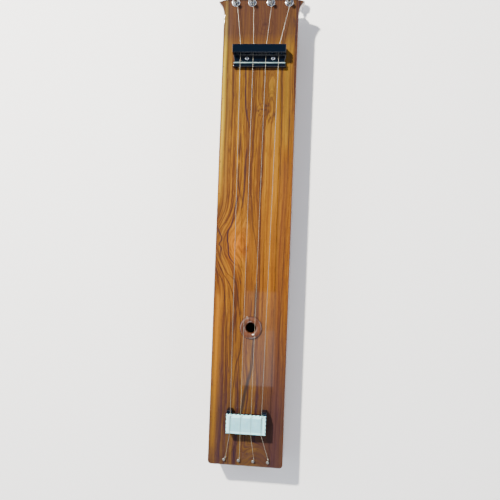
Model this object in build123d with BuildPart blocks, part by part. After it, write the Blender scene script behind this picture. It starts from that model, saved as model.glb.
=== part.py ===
"""A flat-box travel tanpura: a four-string drone lute with a hollow teak box.

X runs across the face, +Y towards the head, +Z out of the face. The back lies on
Z = 0, under the middle of the whole length. Distances along the instrument are
stations: millimetres from the inlaid line across the head, towards the tail.
"""

from build123d import *
import math
import os

# ---- Driving dimensions, millimetres ----

BODY_WIDTH = 135.2
BODY_DEPTH = 62.0
FLARE_WIDTH = 155.0
FLARE_CORNER_STATION = 1.5
FLARE_START_STATION = 25.0
CROWN_STATION = -11.0
BOX_START_STATION = 50.0
TAIL_STATION = 837.0
TAIL_CORNER_RADIUS = 6.0

PANEL = 5.0
SIDE_THICKNESS = 8.0
HEAD_PLATE = 16.0
END_BLOCK_DEPTH = 16.0
TAIL_BLOCK_DEPTH = 22.0
FACE_EDGE_RADIUS = 2.0
BACK_EDGE_RADIUS = 1.5
LINING = 8.0
BRACE_WIDTH = 8.0
BRACE_HEIGHT = 13.0
TOP_BRACE_STATIONS = (230.0, 400.0, 660.0)
BACK_BRACE_STATIONS = (200.0, 400.0, 600.0)
PATCH_THICKNESS = 3.0
PATCH_MARGIN = 6.0
NUT_BRACE_THICKNESS = 10.0

SOUND_HOLE_STATION = 588.5
SOUND_HOLE_X = 2.2
SOUND_HOLE = 18.0
RING_TUBE = 22.0
RING_FLANGE = 41.0
RING_HEIGHT = 4.5

BRAD_INSET = 3.4
BRAD_SPACING = 57.5
BRAD_COUNT = 14
BRAD_START_STATION = 62.0
BRAD_DIAMETER = 1.6
BRAD_LENGTH = 22.0

NUT_BLOCK_WIDTH = 95.0
NUT_BLOCK_X = 1.0
NUT_BAR_STATION = 86.8
NUT_BAR_DEPTH = 14.7
NUT_BAR_HEIGHT = 24.0
NUT_SHELF_HEIGHT = 9.0
NUT_BLOCK_DEPTH = 35.0
NUT_WAIST = 2.5
NUT_BAR_SOFTENING = 1.2
NUT_STRIP_STATION = 115.7
NUT_STRIP_WIDTH = 92.0
NUT_STRIP_THICKNESS = 1.8
NUT_STRIP_SINK = 4.0
NUT_HEIGHT = 11.4
NUT_STRIP_CROWN = 0.6
NUT_SCREW_STATION = 107.3
NUT_SCREW_XS = (-21.5, 25.3)
NUT_SCREW_RADIUS = 1.75
NUT_SCREW_HEAD = 3.6
NUT_SCREW_HEAD_HEIGHT = 2.2
NUT_SCREW_BITE = 8.0

BRIDGE_STATION = 738.4
BRIDGE_X = 1.6
BRIDGE_WIDTH = 70.0
BRIDGE_LENGTH = 33.8
BRIDGE_HEIGHT = 27.0
BRIDGE_PLATE = 5.0
BRIDGE_BASE_WIDTH = 71.0
BRIDGE_BASE_REAR_STEP = 1.5
PLATE_CORNER = 2.0
PLATE_CROWN = 1.6
NOTCH_PITCH = 7.0
NOTCH_RADIUS = 1.6
NOTCH_DEPTH = 1.1
FRONT_NOTCHES = 10
SIDE_NOTCHES = 5
FOOT_WIDTH = 9.5
FOOT_REACH = 5.0
FOOT_REACH_HEIGHT = 19.0
FOOT_ROUNDING = 3.0
ARCH_HEIGHT = 15.0
ARCH_CORNER = 8.0

PIN_STATION = 826.0
PIN_DIAMETER = 3.0
PIN_HEAD = 5.4
PIN_NECK = 3.4
PIN_HEAD_HEIGHT = 1.8
PIN_DEPTH = 20.0

POST_STATION = 4.0
POST_XS = (-46.0, -16.4, 17.0, 50.2)
POST_DIAMETER = 6.0
POST_WAIST = 5.2
POST_TOP = 19.0
WIND_HEIGHT = 8.0

STRING_GAUGES = (0.70, 0.42, 0.42, 0.76)
STRING_NUT_SPACING = 22.8
STRING_BRIDGE_SPACING = 18.3
STRING_PIN_SPACING = 26.2
STRING_HOLE = 2.6
STRING_HOLE_HEIGHT = 11.5
THREAD_DIAMETER = 0.6
THREAD_LENGTH = 5.5
THREAD_INSET = 3.4
STRING_TURNS = 3
STRING_GAP_AT_POST = 2.6
STRING_BEND = 12.0

GEAR_MODULE = 0.7
GEAR_TEETH = 15
WORM_PITCH_RADIUS = 2.5
TOOTH_THICKNESS = 0.86
RUNNING_GAP = 0.05

# ---- Places worked out from them ----

HALF_WIDTH = BODY_WIDTH / 2
INNER_HALF = HALF_WIDTH - SIDE_THICKNESS
FACE = BODY_DEPTH
FACE_UNDER = FACE - PANEL
HEAD_UNDER = FACE - HEAD_PLATE
INNER_START = BOX_START_STATION + END_BLOCK_DEPTH
INNER_END = TAIL_STATION - TAIL_BLOCK_DEPTH

# One tuner, in its own frame: the post is the Z axis, and Z = 0 is the underside
# of the head plate that the tuner hangs from.
PITCH = math.pi * GEAR_MODULE
WHEEL_PITCH_RADIUS = GEAR_MODULE * GEAR_TEETH / 2
WORM_X = WHEEL_PITCH_RADIUS + WORM_PITCH_RADIUS
WORM_Z = -7.25
WHEEL_WIDTH = 4.0
ADDENDUM = GEAR_MODULE
DEDENDUM = 1.25 * GEAR_MODULE
HOUSING_DEPTH = 13.0
HOUSING_WALL = 1.4
HOUSING_TOP = 2.6
HOUSING_X = (-8.0, WORM_X + 5.2)
HOUSING_Y = (-10.5, 11.0)
CAVITY_Y = (-7.6, 7.8)
COVER_THICKNESS = 1.0
LUG_REACH = 7.0
LUG_WIDTH = 7.0
LUG_THICKNESS = 2.2
LUG_SCREW_RADIUS = 1.0
LUG_SCREW_BITE = 8.0
LUG_SCREW_HEAD = 2.1
LUG_SCREW_HEAD_HEIGHT = 1.3
BUSHING_TUBE = 9.0
WASHER_DIAMETER = 14.8
WASHER_THICKNESS = 1.2
HEX_SIZE = 11.0
HEX_HEIGHT = 2.6
POST_HOLE_RADIUS = 0.7
WHEEL_SEAT = 3.6
WHEEL_SCREW_RADIUS = 0.9
WHEEL_SCREW_HEAD = 2.3
WHEEL_SCREW_HEAD_HEIGHT = 1.2
JOURNAL = 3.0
SHAFT = 4.0
BUTTON_START = 18.0
BUTTON_STEM = 3.0
BUTTON_STEM_RADIUS = 3.2
BUTTON_LENGTH = 16.0
BUTTON_WIDTH = 18.0
BUTTON_THICKNESS = 9.0
BUTTON_SCREW_RADIUS = 0.9
BUTTON_SCREW_HEAD = 2.4
BUTTON_SCREW_HEIGHT = 1.4
BUTTON_SCREW_BITE = 6.0
BUTTON_END = BUTTON_START + BUTTON_STEM + BUTTON_LENGTH + BUTTON_SCREW_HEIGHT

# The whole length runs from the tail to the ends of the buttons.
LINE_Y = (TAIL_STATION + POST_STATION - BUTTON_END) / 2
STRING_COUNT = len(STRING_GAUGES)


def y_at(station):
    """Y of a station along the instrument."""
    return LINE_Y - station


def spread(spacing, middle):
    """Evenly spaced X places of the four strings, about a middle."""
    return [middle + spacing * (i - (STRING_COUNT - 1) / 2) for i in range(STRING_COUNT)]


NUT_XS = spread(STRING_NUT_SPACING, NUT_BLOCK_X)
BRIDGE_XS = spread(STRING_BRIDGE_SPACING, BRIDGE_X)
PIN_XS = spread(STRING_PIN_SPACING, BRIDGE_X)


POST_PLACES = [(x, y_at(POST_STATION), HEAD_UNDER) for x in POST_XS]
BRAD_PLACES = [
    (side * (HALF_WIDTH - BRAD_INSET), y_at(BRAD_START_STATION + i * BRAD_SPACING))
    for side in (-1, 1)
    for i in range(BRAD_COUNT)
]
PIN_PLACES = [(x, y_at(PIN_STATION)) for x in PIN_XS]
NUT_SCREW_PLACES = [(x, y_at(NUT_SCREW_STATION)) for x in NUT_SCREW_XS]

os.makedirs("parts", exist_ok=True)


def write(piece, label):
    """Name a finished piece and write its STEP file."""
    piece.part.label = label
    export_step(piece.part, f"parts/{label}.step")


def bar(start, end, half_width, low, high):
    """A straight block across the instrument, between two stations and two heights."""
    with BuildPart() as block:
        with BuildSketch(Plane.XY.offset(low)):
            with Locations((0, y_at((start + end) / 2))):
                Rectangle(2 * half_width, end - start)
        extrude(amount=high - low)
    return block.part


# ---- The wooden box ----

with BuildSketch() as face_outline:
    with BuildLine():
        tail_and_sides = Polyline(
            (-HALF_WIDTH, y_at(FLARE_START_STATION)),
            (-HALF_WIDTH, y_at(TAIL_STATION)),
            (HALF_WIDTH, y_at(TAIL_STATION)),
            (HALF_WIDTH, y_at(FLARE_START_STATION)),
        )
        corner_y = y_at(FLARE_CORNER_STATION)
        left_flare = TangentArc(tail_and_sides @ 0, (-FLARE_WIDTH / 2, corner_y), tangent=(0, 1))
        right_flare = TangentArc(tail_and_sides @ 1, (FLARE_WIDTH / 2, corner_y), tangent=(0, 1))
        ThreePointArc(left_flare @ 1, (0, y_at(CROWN_STATION)), right_flare @ 1)
    make_face()
    fillet(face_outline.vertices().group_by(Axis.Y)[0], TAIL_CORNER_RADIUS)

with BuildSketch() as box_outline:
    add(face_outline.sketch)
    with Locations((0, y_at((BOX_START_STATION + TAIL_STATION) / 2))):
        Rectangle(BODY_WIDTH, TAIL_STATION - BOX_START_STATION, mode=Mode.INTERSECT)

with BuildPart() as soundboard:
    with BuildSketch(Plane.XY.offset(FACE_UNDER)):
        add(face_outline.sketch)
    extrude(amount=PANEL)
    fillet(soundboard.faces().sort_by(Axis.Z)[-1].edges(), FACE_EDGE_RADIUS)
    with BuildSketch(Plane.XY.offset(FACE_UNDER)):
        with Locations((SOUND_HOLE_X, y_at(SOUND_HOLE_STATION))):
            Circle(RING_TUBE / 2)
        with Locations(*[place[:2] for place in POST_PLACES]):
            Circle(BUSHING_TUBE / 2)
        with Locations(*BRAD_PLACES):
            Circle(BRAD_DIAMETER / 2)
        with Locations(*PIN_PLACES):
            Circle(PIN_DIAMETER / 2)
        with Locations(*NUT_SCREW_PLACES):
            Circle(NUT_SCREW_RADIUS)
    extrude(amount=PANEL, mode=Mode.SUBTRACT)
write(soundboard, "soundboard")

with BuildPart() as back_panel:
    with BuildSketch():
        add(box_outline.sketch)
    extrude(amount=PANEL)
    fillet(back_panel.faces().sort_by(Axis.Z)[0].edges(), BACK_EDGE_RADIUS)
write(back_panel, "back_panel")

for label, side in (("side_left", -1), ("side_right", 1)):
    with BuildPart() as wall:
        with BuildSketch(Plane.XY.offset(PANEL)):
            add(box_outline.sketch)
            with Locations((side * (INNER_HALF + SIDE_THICKNESS), 0)):
                Rectangle(2 * SIDE_THICKNESS, 2 * TAIL_STATION, mode=Mode.INTERSECT)
        extrude(amount=FACE_UNDER - PANEL)
        with BuildSketch(Plane.XY.offset(FACE - BRAD_LENGTH)):
            with Locations(*BRAD_PLACES):
                Circle(BRAD_DIAMETER / 2)
        extrude(amount=BRAD_LENGTH, mode=Mode.SUBTRACT)
    write(wall, label)

with BuildPart() as head_block:
    with BuildSketch(Plane.XY.offset(HEAD_UNDER)):
        add(face_outline.sketch)
        with Locations((0, y_at(BOX_START_STATION - TAIL_STATION / 2))):
            Rectangle(FLARE_WIDTH, TAIL_STATION, mode=Mode.INTERSECT)
        with Locations((0, y_at(BOX_START_STATION + END_BLOCK_DEPTH / 2))):
            Rectangle(2 * INNER_HALF, END_BLOCK_DEPTH)
    extrude(amount=HEAD_PLATE - PANEL)
    with BuildSketch(Plane.XY.offset(HEAD_UNDER)):
        with Locations(*[place[:2] for place in POST_PLACES]):
            Circle(BUSHING_TUBE / 2)
    extrude(amount=HEAD_PLATE, mode=Mode.SUBTRACT)
    with BuildSketch(Plane.XY.offset(HEAD_UNDER)):
        with Locations(*[(x, y + HOUSING_Y[0] - LUG_REACH / 2) for x, y, _ in POST_PLACES]):
            Circle(LUG_SCREW_RADIUS)
    extrude(amount=LUG_SCREW_BITE, mode=Mode.SUBTRACT)
write(head_block, "head_block")

with BuildPart() as end_block:
    add(bar(BOX_START_STATION, INNER_START, INNER_HALF, PANEL, HEAD_UNDER))
write(end_block, "end_block")

with BuildPart() as tail_block:
    add(bar(INNER_END, TAIL_STATION, INNER_HALF, PANEL, FACE_UNDER))
    with BuildSketch(Plane.XY.offset(FACE - PIN_DEPTH)):
        with Locations(*PIN_PLACES):
            Circle(PIN_DIAMETER / 2)
    extrude(amount=PIN_DEPTH, mode=Mode.SUBTRACT)
write(tail_block, "tail_block")

with BuildPart() as linings:
    lining_middle = y_at((INNER_START + INNER_END) / 2)
    for height in (PANEL, FACE_UNDER - LINING):
        with BuildSketch(Plane.XY.offset(height)):
            with Locations(*[(side * (INNER_HALF - LINING / 2), lining_middle) for side in (-1, 1)]):
                Rectangle(LINING, INNER_END - INNER_START)
        extrude(amount=LINING)
write(linings, "linings")

BRACE_HALF = INNER_HALF - LINING

with BuildPart() as soundboard_braces:
    for station in TOP_BRACE_STATIONS:
        add(bar(station, station + BRACE_WIDTH, BRACE_HALF, FACE_UNDER - BRACE_HEIGHT, FACE_UNDER))
    patch_end = BRIDGE_STATION + BRIDGE_LENGTH + PATCH_MARGIN
    add(bar(BRIDGE_STATION - PATCH_MARGIN, patch_end, BRACE_HALF,
            FACE_UNDER - PATCH_THICKNESS, FACE_UNDER))
write(soundboard_braces, "soundboard_braces")

with BuildPart() as nut_brace:
    add(bar(NUT_BAR_STATION, NUT_BAR_STATION + NUT_BLOCK_DEPTH, BRACE_HALF,
            FACE_UNDER - NUT_BRACE_THICKNESS, FACE_UNDER))
    with BuildSketch(Plane.XY.offset(FACE_UNDER - NUT_SCREW_BITE)):
        with Locations(*NUT_SCREW_PLACES):
            Circle(NUT_SCREW_RADIUS)
    extrude(amount=NUT_SCREW_BITE, mode=Mode.SUBTRACT)
write(nut_brace, "nut_brace")

with BuildPart() as back_braces:
    for station in BACK_BRACE_STATIONS:
        add(bar(station, station + BRACE_WIDTH, BRACE_HALF, PANEL, PANEL + BRACE_HEIGHT))
write(back_braces, "back_braces")

# ---- Fittings on the face ----

with BuildPart() as sound_ring:
    with BuildSketch(Plane.XZ.offset(-y_at(SOUND_HOLE_STATION))):
        with BuildLine():
            outer = SOUND_HOLE_X + RING_FLANGE / 2
            inner = SOUND_HOLE_X + SOUND_HOLE / 2
            tube = SOUND_HOLE_X + RING_TUBE / 2
            bead_top = (outer - 5.0, FACE + RING_HEIGHT)
            lip = (inner, FACE + RING_HEIGHT - 2.0)
            ThreePointArc((outer, FACE), (outer - 1.2, FACE + RING_HEIGHT - 1.4), bead_top)
            ThreePointArc(bead_top, (inner + 2.0, FACE + RING_HEIGHT - 0.4), lip)
            Polyline(lip, (inner, FACE_UNDER), (tube, FACE_UNDER), (tube, FACE), (outer, FACE))
        make_face()
    revolve(axis=Axis((SOUND_HOLE_X, y_at(SOUND_HOLE_STATION), 0), (0, 0, 1)))
write(sound_ring, "sound_ring")

with BuildPart() as nut_block:
    bar_back = y_at(NUT_BAR_STATION)
    bar_front = bar_back - NUT_BAR_DEPTH
    block_front = bar_back - NUT_BLOCK_DEPTH
    half = NUT_BLOCK_WIDTH / 2
    with BuildSketch(Plane.XY.offset(FACE)):
        with BuildLine():
            for side in (-1, 1):
                end = NUT_BLOCK_X + side * half
                waist = (end - side * NUT_WAIST, (bar_front + block_front) / 2)
                Line((end, bar_back), (end, bar_front))
                ThreePointArc((end, bar_front), waist, (end, block_front))
            for y in (bar_back, block_front):
                Line((NUT_BLOCK_X - half, y), (NUT_BLOCK_X + half, y))
        make_face()
    extrude(amount=NUT_BAR_HEIGHT)
    with BuildSketch(Plane.XY.offset(FACE + NUT_SHELF_HEIGHT)):
        with Locations((NUT_BLOCK_X, (bar_front + block_front) / 2)):
            Rectangle(NUT_BLOCK_WIDTH, bar_front - block_front)
    extrude(amount=NUT_BAR_HEIGHT, mode=Mode.SUBTRACT)
    fillet(nut_block.faces().sort_by(Axis.Z)[-1].edges(), NUT_BAR_SOFTENING)
    with BuildSketch(Plane.XY.offset(FACE + NUT_SHELF_HEIGHT - NUT_STRIP_SINK)):
        with Locations((NUT_BLOCK_X, y_at(NUT_STRIP_STATION))):
            Rectangle(NUT_STRIP_WIDTH, NUT_STRIP_THICKNESS)
    extrude(amount=NUT_STRIP_SINK, mode=Mode.SUBTRACT)
    with BuildSketch(Plane.XZ.offset(-bar_back)):
        with Locations(*[(x, FACE + STRING_HOLE_HEIGHT) for x in NUT_XS]):
            Circle(STRING_HOLE / 2)
    extrude(amount=NUT_BAR_DEPTH, mode=Mode.SUBTRACT)
    with BuildSketch(Plane.XY.offset(FACE)):
        with Locations(*NUT_SCREW_PLACES):
            Circle(NUT_SCREW_RADIUS)
    extrude(amount=NUT_SHELF_HEIGHT, mode=Mode.SUBTRACT)
write(nut_block, "nut_block")

with BuildPart() as nut_strip:
    with BuildSketch(Plane.XY.offset(FACE + NUT_SHELF_HEIGHT - NUT_STRIP_SINK)):
        with Locations((NUT_BLOCK_X, y_at(NUT_STRIP_STATION))):
            Rectangle(NUT_STRIP_WIDTH, NUT_STRIP_THICKNESS)
    extrude(amount=NUT_HEIGHT - NUT_SHELF_HEIGHT + NUT_STRIP_SINK)
    fillet(nut_strip.faces().sort_by(Axis.Z)[-1].edges().filter_by(Axis.X), NUT_STRIP_CROWN)
write(nut_strip, "nut_strip")

with BuildPart() as nut_screws:
    shelf = FACE + NUT_SHELF_HEIGHT
    with Locations(*[(x, y, shelf) for x, y in NUT_SCREW_PLACES]):
        Cylinder(NUT_SCREW_RADIUS, NUT_SHELF_HEIGHT + PANEL + NUT_SCREW_BITE,
                 align=(Align.CENTER, Align.CENTER, Align.MAX))
        Cylinder(NUT_SCREW_HEAD, NUT_SCREW_HEAD_HEIGHT, align=(Align.CENTER, Align.CENTER, Align.MIN))
    fillet(nut_screws.edges().group_by(Axis.Z)[-1], 1.9)
write(nut_screws, "nut_screws")

with BuildPart() as bridge_base:
    base_height = BRIDGE_HEIGHT - BRIDGE_PLATE
    with BuildSketch(Plane.XZ.offset(-y_at(BRIDGE_STATION))) as end_profile:
        with Locations((BRIDGE_X, FACE)):
            Rectangle(BRIDGE_BASE_WIDTH, base_height, align=(Align.CENTER, Align.MIN))
            Rectangle(BRIDGE_BASE_WIDTH - 2 * FOOT_WIDTH, ARCH_HEIGHT,
                      align=(Align.CENTER, Align.MIN), mode=Mode.SUBTRACT)
        fillet(end_profile.vertices().group_by(Axis.Y)[1], ARCH_CORNER)
    extrude(amount=BRIDGE_LENGTH - BRIDGE_BASE_REAR_STEP)
    toe_spacing = BRIDGE_BASE_WIDTH - FOOT_WIDTH
    with Locations((BRIDGE_X, y_at(BRIDGE_STATION), FACE)):
        with GridLocations(toe_spacing, 0, 2, 1):
            Box(FOOT_WIDTH, FOOT_REACH, FOOT_REACH_HEIGHT,
                align=(Align.CENTER, Align.MIN, Align.MIN))
    toe_tops = bridge_base.edges().filter_by(Axis.X).group_by(Axis.Y)[-1].group_by(Axis.Z)[-1]
    fillet(toe_tops, FOOT_ROUNDING)
write(bridge_base, "bridge_base")

with BuildPart() as bridge_plate:
    plate_middle = y_at(BRIDGE_STATION + BRIDGE_LENGTH / 2)
    with BuildSketch(Plane.XY.offset(FACE + BRIDGE_HEIGHT - BRIDGE_PLATE)):
        with Locations((BRIDGE_X, plate_middle)):
            RectangleRounded(BRIDGE_WIDTH, BRIDGE_LENGTH, PLATE_CORNER)
    extrude(amount=BRIDGE_PLATE)
    fillet(bridge_plate.faces().sort_by(Axis.Z)[-1].edges(), PLATE_CROWN)
    notch_reach = NOTCH_RADIUS - NOTCH_DEPTH
    with BuildSketch(Plane.XY.offset(FACE + BRIDGE_HEIGHT - BRIDGE_PLATE)):
        with Locations((BRIDGE_X, y_at(BRIDGE_STATION) + notch_reach)):
            with GridLocations(NOTCH_PITCH, 0, FRONT_NOTCHES, 1):
                Circle(NOTCH_RADIUS)
        with Locations((BRIDGE_X, plate_middle)):
            with GridLocations(BRIDGE_WIDTH + 2 * notch_reach, NOTCH_PITCH, 2, SIDE_NOTCHES):
                Circle(NOTCH_RADIUS)
    extrude(amount=BRIDGE_PLATE, mode=Mode.SUBTRACT)
write(bridge_plate, "bridge_plate")

with BuildPart() as jiva_threads:
    thread_y = y_at(BRIDGE_STATION + THREAD_INSET)
    for x in BRIDGE_XS:
        with BuildSketch(Plane.YZ.offset(x - 1.5)):
            with Locations((thread_y, FACE + BRIDGE_HEIGHT + THREAD_DIAMETER / 2)):
                Circle(THREAD_DIAMETER / 2)
        extrude(amount=THREAD_LENGTH)
write(jiva_threads, "jiva_threads")

with BuildPart() as string_pins:
    with Locations(*[(x, y, FACE - PIN_DEPTH) for x, y in PIN_PLACES]):
        Cylinder(PIN_DIAMETER / 2, PIN_DEPTH + PIN_NECK, align=(Align.CENTER, Align.CENTER, Align.MIN))
    with Locations(*[(x, y, FACE + PIN_NECK) for x, y in PIN_PLACES]):
        Cylinder(PIN_HEAD / 2, PIN_HEAD_HEIGHT, align=(Align.CENTER, Align.CENTER, Align.MIN))
    fillet(string_pins.edges().group_by(Axis.Z)[-1], 0.8 * PIN_HEAD_HEIGHT)
write(string_pins, "string_pins")

with BuildPart() as face_brads:
    with BuildSketch(Plane.XY.offset(FACE - BRAD_LENGTH)):
        with Locations(*BRAD_PLACES):
            Circle(BRAD_DIAMETER / 2)
    extrude(amount=BRAD_LENGTH)
write(face_brads, "face_brads")

# ---- Strings ----

for number, gauge in enumerate(STRING_GAUGES):
    radius = gauge / 2
    nut_x = NUT_XS[number]
    bridge_x = BRIDGE_XS[number]
    pin = Vector(PIN_XS[number], y_at(PIN_STATION), FACE + 1.9)
    wind_radius = POST_WAIST / 2 + radius
    bridge_top = FACE + BRIDGE_HEIGHT + radius + 0.02
    wound_x = POST_XS[number] + wind_radius
    hole_exit = Vector(nut_x, y_at(NUT_BAR_STATION), FACE + STRING_HOLE_HEIGHT - 0.3)
    post_side = Vector(wound_x, y_at(POST_STATION), FACE + WIND_HEIGHT)
    start = post_side + (hole_exit - post_side).normalized() * STRING_GAP_AT_POST
    rear_edge = Vector(bridge_x, y_at(BRIDGE_STATION + BRIDGE_LENGTH - 1.0), bridge_top + 0.35)
    along = (pin - rear_edge).normalized()
    across = Vector(1, 0, 0) - along * along.X
    across = across.normalized()
    loop_radius = PIN_DIAMETER / 2 + radius + 0.25
    with BuildPart() as wire:
        with BuildLine() as route:
            FilletPolyline(
                start,
                hole_exit,
                (nut_x, y_at(NUT_STRIP_STATION), FACE + NUT_HEIGHT + radius + 0.02),
                (bridge_x, thread_y, bridge_top + THREAD_DIAMETER),
                rear_edge,
                pin + across * loop_radius,
                radius=[STRING_BEND, 3 * STRING_BEND, STRING_BEND, STRING_BEND],
            )
            ThreePointArc(
                pin + across * loop_radius,
                pin + (along * math.cos(math.radians(30)) - across * 0.5) * loop_radius,
                pin + (across * -0.5 - along * math.cos(math.radians(30))) * loop_radius,
            )
        with BuildSketch(Plane(route.wire() @ 0, z_dir=route.wire() % 0)):
            Circle(radius)
        sweep()
    write(wire, f"string_{number + 1}")

# ---- One tuner, in its own frame ----

with BuildPart() as housing:
    middle_x = sum(HOUSING_X) / 2
    middle_y = sum(HOUSING_Y) / 2
    width = HOUSING_X[1] - HOUSING_X[0]
    length = HOUSING_Y[1] - HOUSING_Y[0]
    with BuildSketch(Plane.XY.offset(-HOUSING_DEPTH)):
        with Locations((middle_x, middle_y)):
            RectangleRounded(width, length, 3.0)
    extrude(amount=HOUSING_DEPTH)
    with BuildSketch(Plane.XY.offset(-LUG_THICKNESS)):
        with Locations((0, HOUSING_Y[0])):
            SlotCenterToCenter(2 * LUG_REACH - LUG_WIDTH, LUG_WIDTH, rotation=90)
    extrude(amount=LUG_THICKNESS)
    with BuildSketch(Plane.XY.offset(-HOUSING_DEPTH)):
        with Locations((middle_x, sum(CAVITY_Y) / 2)):
            Rectangle(width - 2 * HOUSING_WALL, CAVITY_Y[1] - CAVITY_Y[0])
    extrude(amount=HOUSING_DEPTH - HOUSING_TOP, mode=Mode.SUBTRACT)
    with BuildSketch(Plane.XY.offset(-HOUSING_TOP)):
        Circle(POST_DIAMETER / 2 + RUNNING_GAP)
    extrude(amount=HOUSING_TOP, mode=Mode.SUBTRACT)
    with BuildSketch(Plane.XY.offset(-LUG_THICKNESS)):
        with Locations((0, HOUSING_Y[0] - LUG_REACH / 2)):
            Circle(LUG_SCREW_RADIUS)
    extrude(amount=LUG_THICKNESS, mode=Mode.SUBTRACT)
    with BuildSketch(Plane.XZ.offset(-CAVITY_Y[1])):
        with Locations((WORM_X, WORM_Z)):
            Circle(SHAFT / 2 + RUNNING_GAP)
    extrude(amount=-(HOUSING_Y[1] - CAVITY_Y[1]), mode=Mode.SUBTRACT)
    with BuildSketch(Plane.XZ.offset(-CAVITY_Y[0])):
        with Locations((WORM_X, WORM_Z)):
            Circle(JOURNAL / 2 + RUNNING_GAP)
    extrude(amount=2.0, mode=Mode.SUBTRACT)

with BuildPart() as cover:
    with BuildSketch(Plane.XY.offset(-HOUSING_DEPTH - COVER_THICKNESS)):
        with Locations((middle_x, middle_y)):
            RectangleRounded(width, length, 3.0)
    extrude(amount=COVER_THICKNESS)
    fillet(cover.faces().sort_by(Axis.Z)[0].edges(), 0.6)

with BuildPart() as lug_screw:
    with BuildSketch(Plane.XY.offset(-LUG_THICKNESS)):
        with Locations((0, HOUSING_Y[0] - LUG_REACH / 2)):
            Circle(LUG_SCREW_RADIUS)
    extrude(amount=LUG_THICKNESS + LUG_SCREW_BITE)
    with BuildSketch(Plane.XY.offset(-LUG_THICKNESS - LUG_SCREW_HEAD_HEIGHT)):
        with Locations((0, HOUSING_Y[0] - LUG_REACH / 2)):
            Circle(LUG_SCREW_HEAD)
    extrude(amount=LUG_SCREW_HEAD_HEIGHT)
    fillet(lug_screw.edges().group_by(Axis.Z)[0], 0.8)

with BuildPart() as washer:
    with BuildSketch(Plane.XY.offset(HEAD_PLATE)):
        Circle(WASHER_DIAMETER / 2)
        Circle(BUSHING_TUBE / 2, mode=Mode.SUBTRACT)
    extrude(amount=WASHER_THICKNESS)
    fillet(washer.edges().group_by(Axis.Z)[-1].sort_by(SortBy.LENGTH)[-1], 0.6)

with BuildPart() as bushing:
    with BuildSketch():
        Circle(BUSHING_TUBE / 2)
    extrude(amount=HEAD_PLATE + WASHER_THICKNESS)
    with BuildSketch(Plane.XY.offset(HEAD_PLATE + WASHER_THICKNESS)):
        RegularPolygon(HEX_SIZE / 2, 6, major_radius=False)
    extrude(amount=HEX_HEIGHT)
    chamfer(bushing.faces().sort_by(Axis.Z)[-1].edges(), 0.5)
    with BuildSketch():
        Circle(POST_DIAMETER / 2 + RUNNING_GAP)
    extrude(amount=HEAD_PLATE + WASHER_THICKNESS + HEX_HEIGHT, mode=Mode.SUBTRACT)

WHEEL_TOP = WORM_Z + WHEEL_WIDTH / 2
WHEEL_BOTTOM = WORM_Z - WHEEL_WIDTH / 2
POST_END = HEAD_PLATE + POST_TOP

with BuildPart() as post:
    with BuildSketch(Plane.XZ):
        with BuildLine():
            Polyline(
                (0, WHEEL_BOTTOM),
                (WHEEL_SEAT / 2, WHEEL_BOTTOM),
                (WHEEL_SEAT / 2, WHEEL_TOP),
                (POST_DIAMETER / 2, WHEEL_TOP),
                (POST_DIAMETER / 2, HEAD_PLATE + WASHER_THICKNESS + HEX_HEIGHT + 0.8),
                (POST_WAIST / 2, HEAD_PLATE + WASHER_THICKNESS + HEX_HEIGHT + 1.6),
                (POST_WAIST / 2, HEAD_PLATE + WIND_HEIGHT + 3.0),
                (POST_DIAMETER / 2, HEAD_PLATE + WIND_HEIGHT + 4.6),
                (POST_DIAMETER / 2, POST_END),
                (0, POST_END),
                close=True,
            )
        make_face()
    revolve(axis=Axis.Z)
    fillet(post.edges().group_by(Axis.Z)[-1], 1.0)
    with BuildSketch(Plane.XZ.offset(-POST_DIAMETER)):
        with Locations((0, HEAD_PLATE + WIND_HEIGHT + 2.4)):
            Circle(POST_HOLE_RADIUS)
    extrude(amount=2 * POST_DIAMETER, mode=Mode.SUBTRACT)
    with BuildSketch(Plane.XY.offset(WHEEL_BOTTOM)):
        Circle(WHEEL_SCREW_RADIUS)
    extrude(amount=WHEEL_WIDTH, mode=Mode.SUBTRACT)

with BuildPart() as wheel_screw:
    with BuildSketch(Plane.XY.offset(WHEEL_BOTTOM)):
        Circle(WHEEL_SCREW_RADIUS)
    extrude(amount=WHEEL_WIDTH)
    with BuildSketch(Plane.XY.offset(WHEEL_BOTTOM - WHEEL_SCREW_HEAD_HEIGHT)):
        Circle(WHEEL_SCREW_HEAD)
    extrude(amount=WHEEL_SCREW_HEAD_HEIGHT)
    fillet(wheel_screw.edges().group_by(Axis.Z)[0], 0.6)

# The wheel's teeth lean with the worm's lead, so each is lofted between its ends.
LEAN = math.degrees(PITCH / (2 * math.pi * WORM_PITCH_RADIUS) / WHEEL_PITCH_RADIUS)
ROOT_RADIUS = WHEEL_PITCH_RADIUS - DEDENDUM
TIP_RADIUS = WHEEL_PITCH_RADIUS + ADDENDUM

with BuildPart() as wheel:
    with BuildSketch(Plane.XY.offset(WHEEL_BOTTOM)):
        Circle(ROOT_RADIUS)
    extrude(amount=WHEEL_WIDTH)
    for tooth in range(GEAR_TEETH):
        turn = 360 / GEAR_TEETH * tooth
        for end in (-1, 1):
            face_turn = turn + end * LEAN * WHEEL_WIDTH / 2
            face_plane = Plane.XY.offset(WORM_Z + end * WHEEL_WIDTH / 2).rotated((0, 0, face_turn))
            with BuildSketch(face_plane):
                with BuildLine():
                    Polyline(
                        (ROOT_RADIUS - 0.3, 0.62),
                        (WHEEL_PITCH_RADIUS, TOOTH_THICKNESS / 2),
                        (TIP_RADIUS, 0.17),
                        (TIP_RADIUS, -0.17),
                        (WHEEL_PITCH_RADIUS, -TOOTH_THICKNESS / 2),
                        (ROOT_RADIUS - 0.3, -0.62),
                        close=True,
                    )
                make_face()
        loft(ruled=True)
    with BuildSketch(Plane.XY.offset(WHEEL_BOTTOM)):
        Circle(WHEEL_SEAT / 2)
    extrude(amount=WHEEL_WIDTH, mode=Mode.SUBTRACT)

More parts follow.
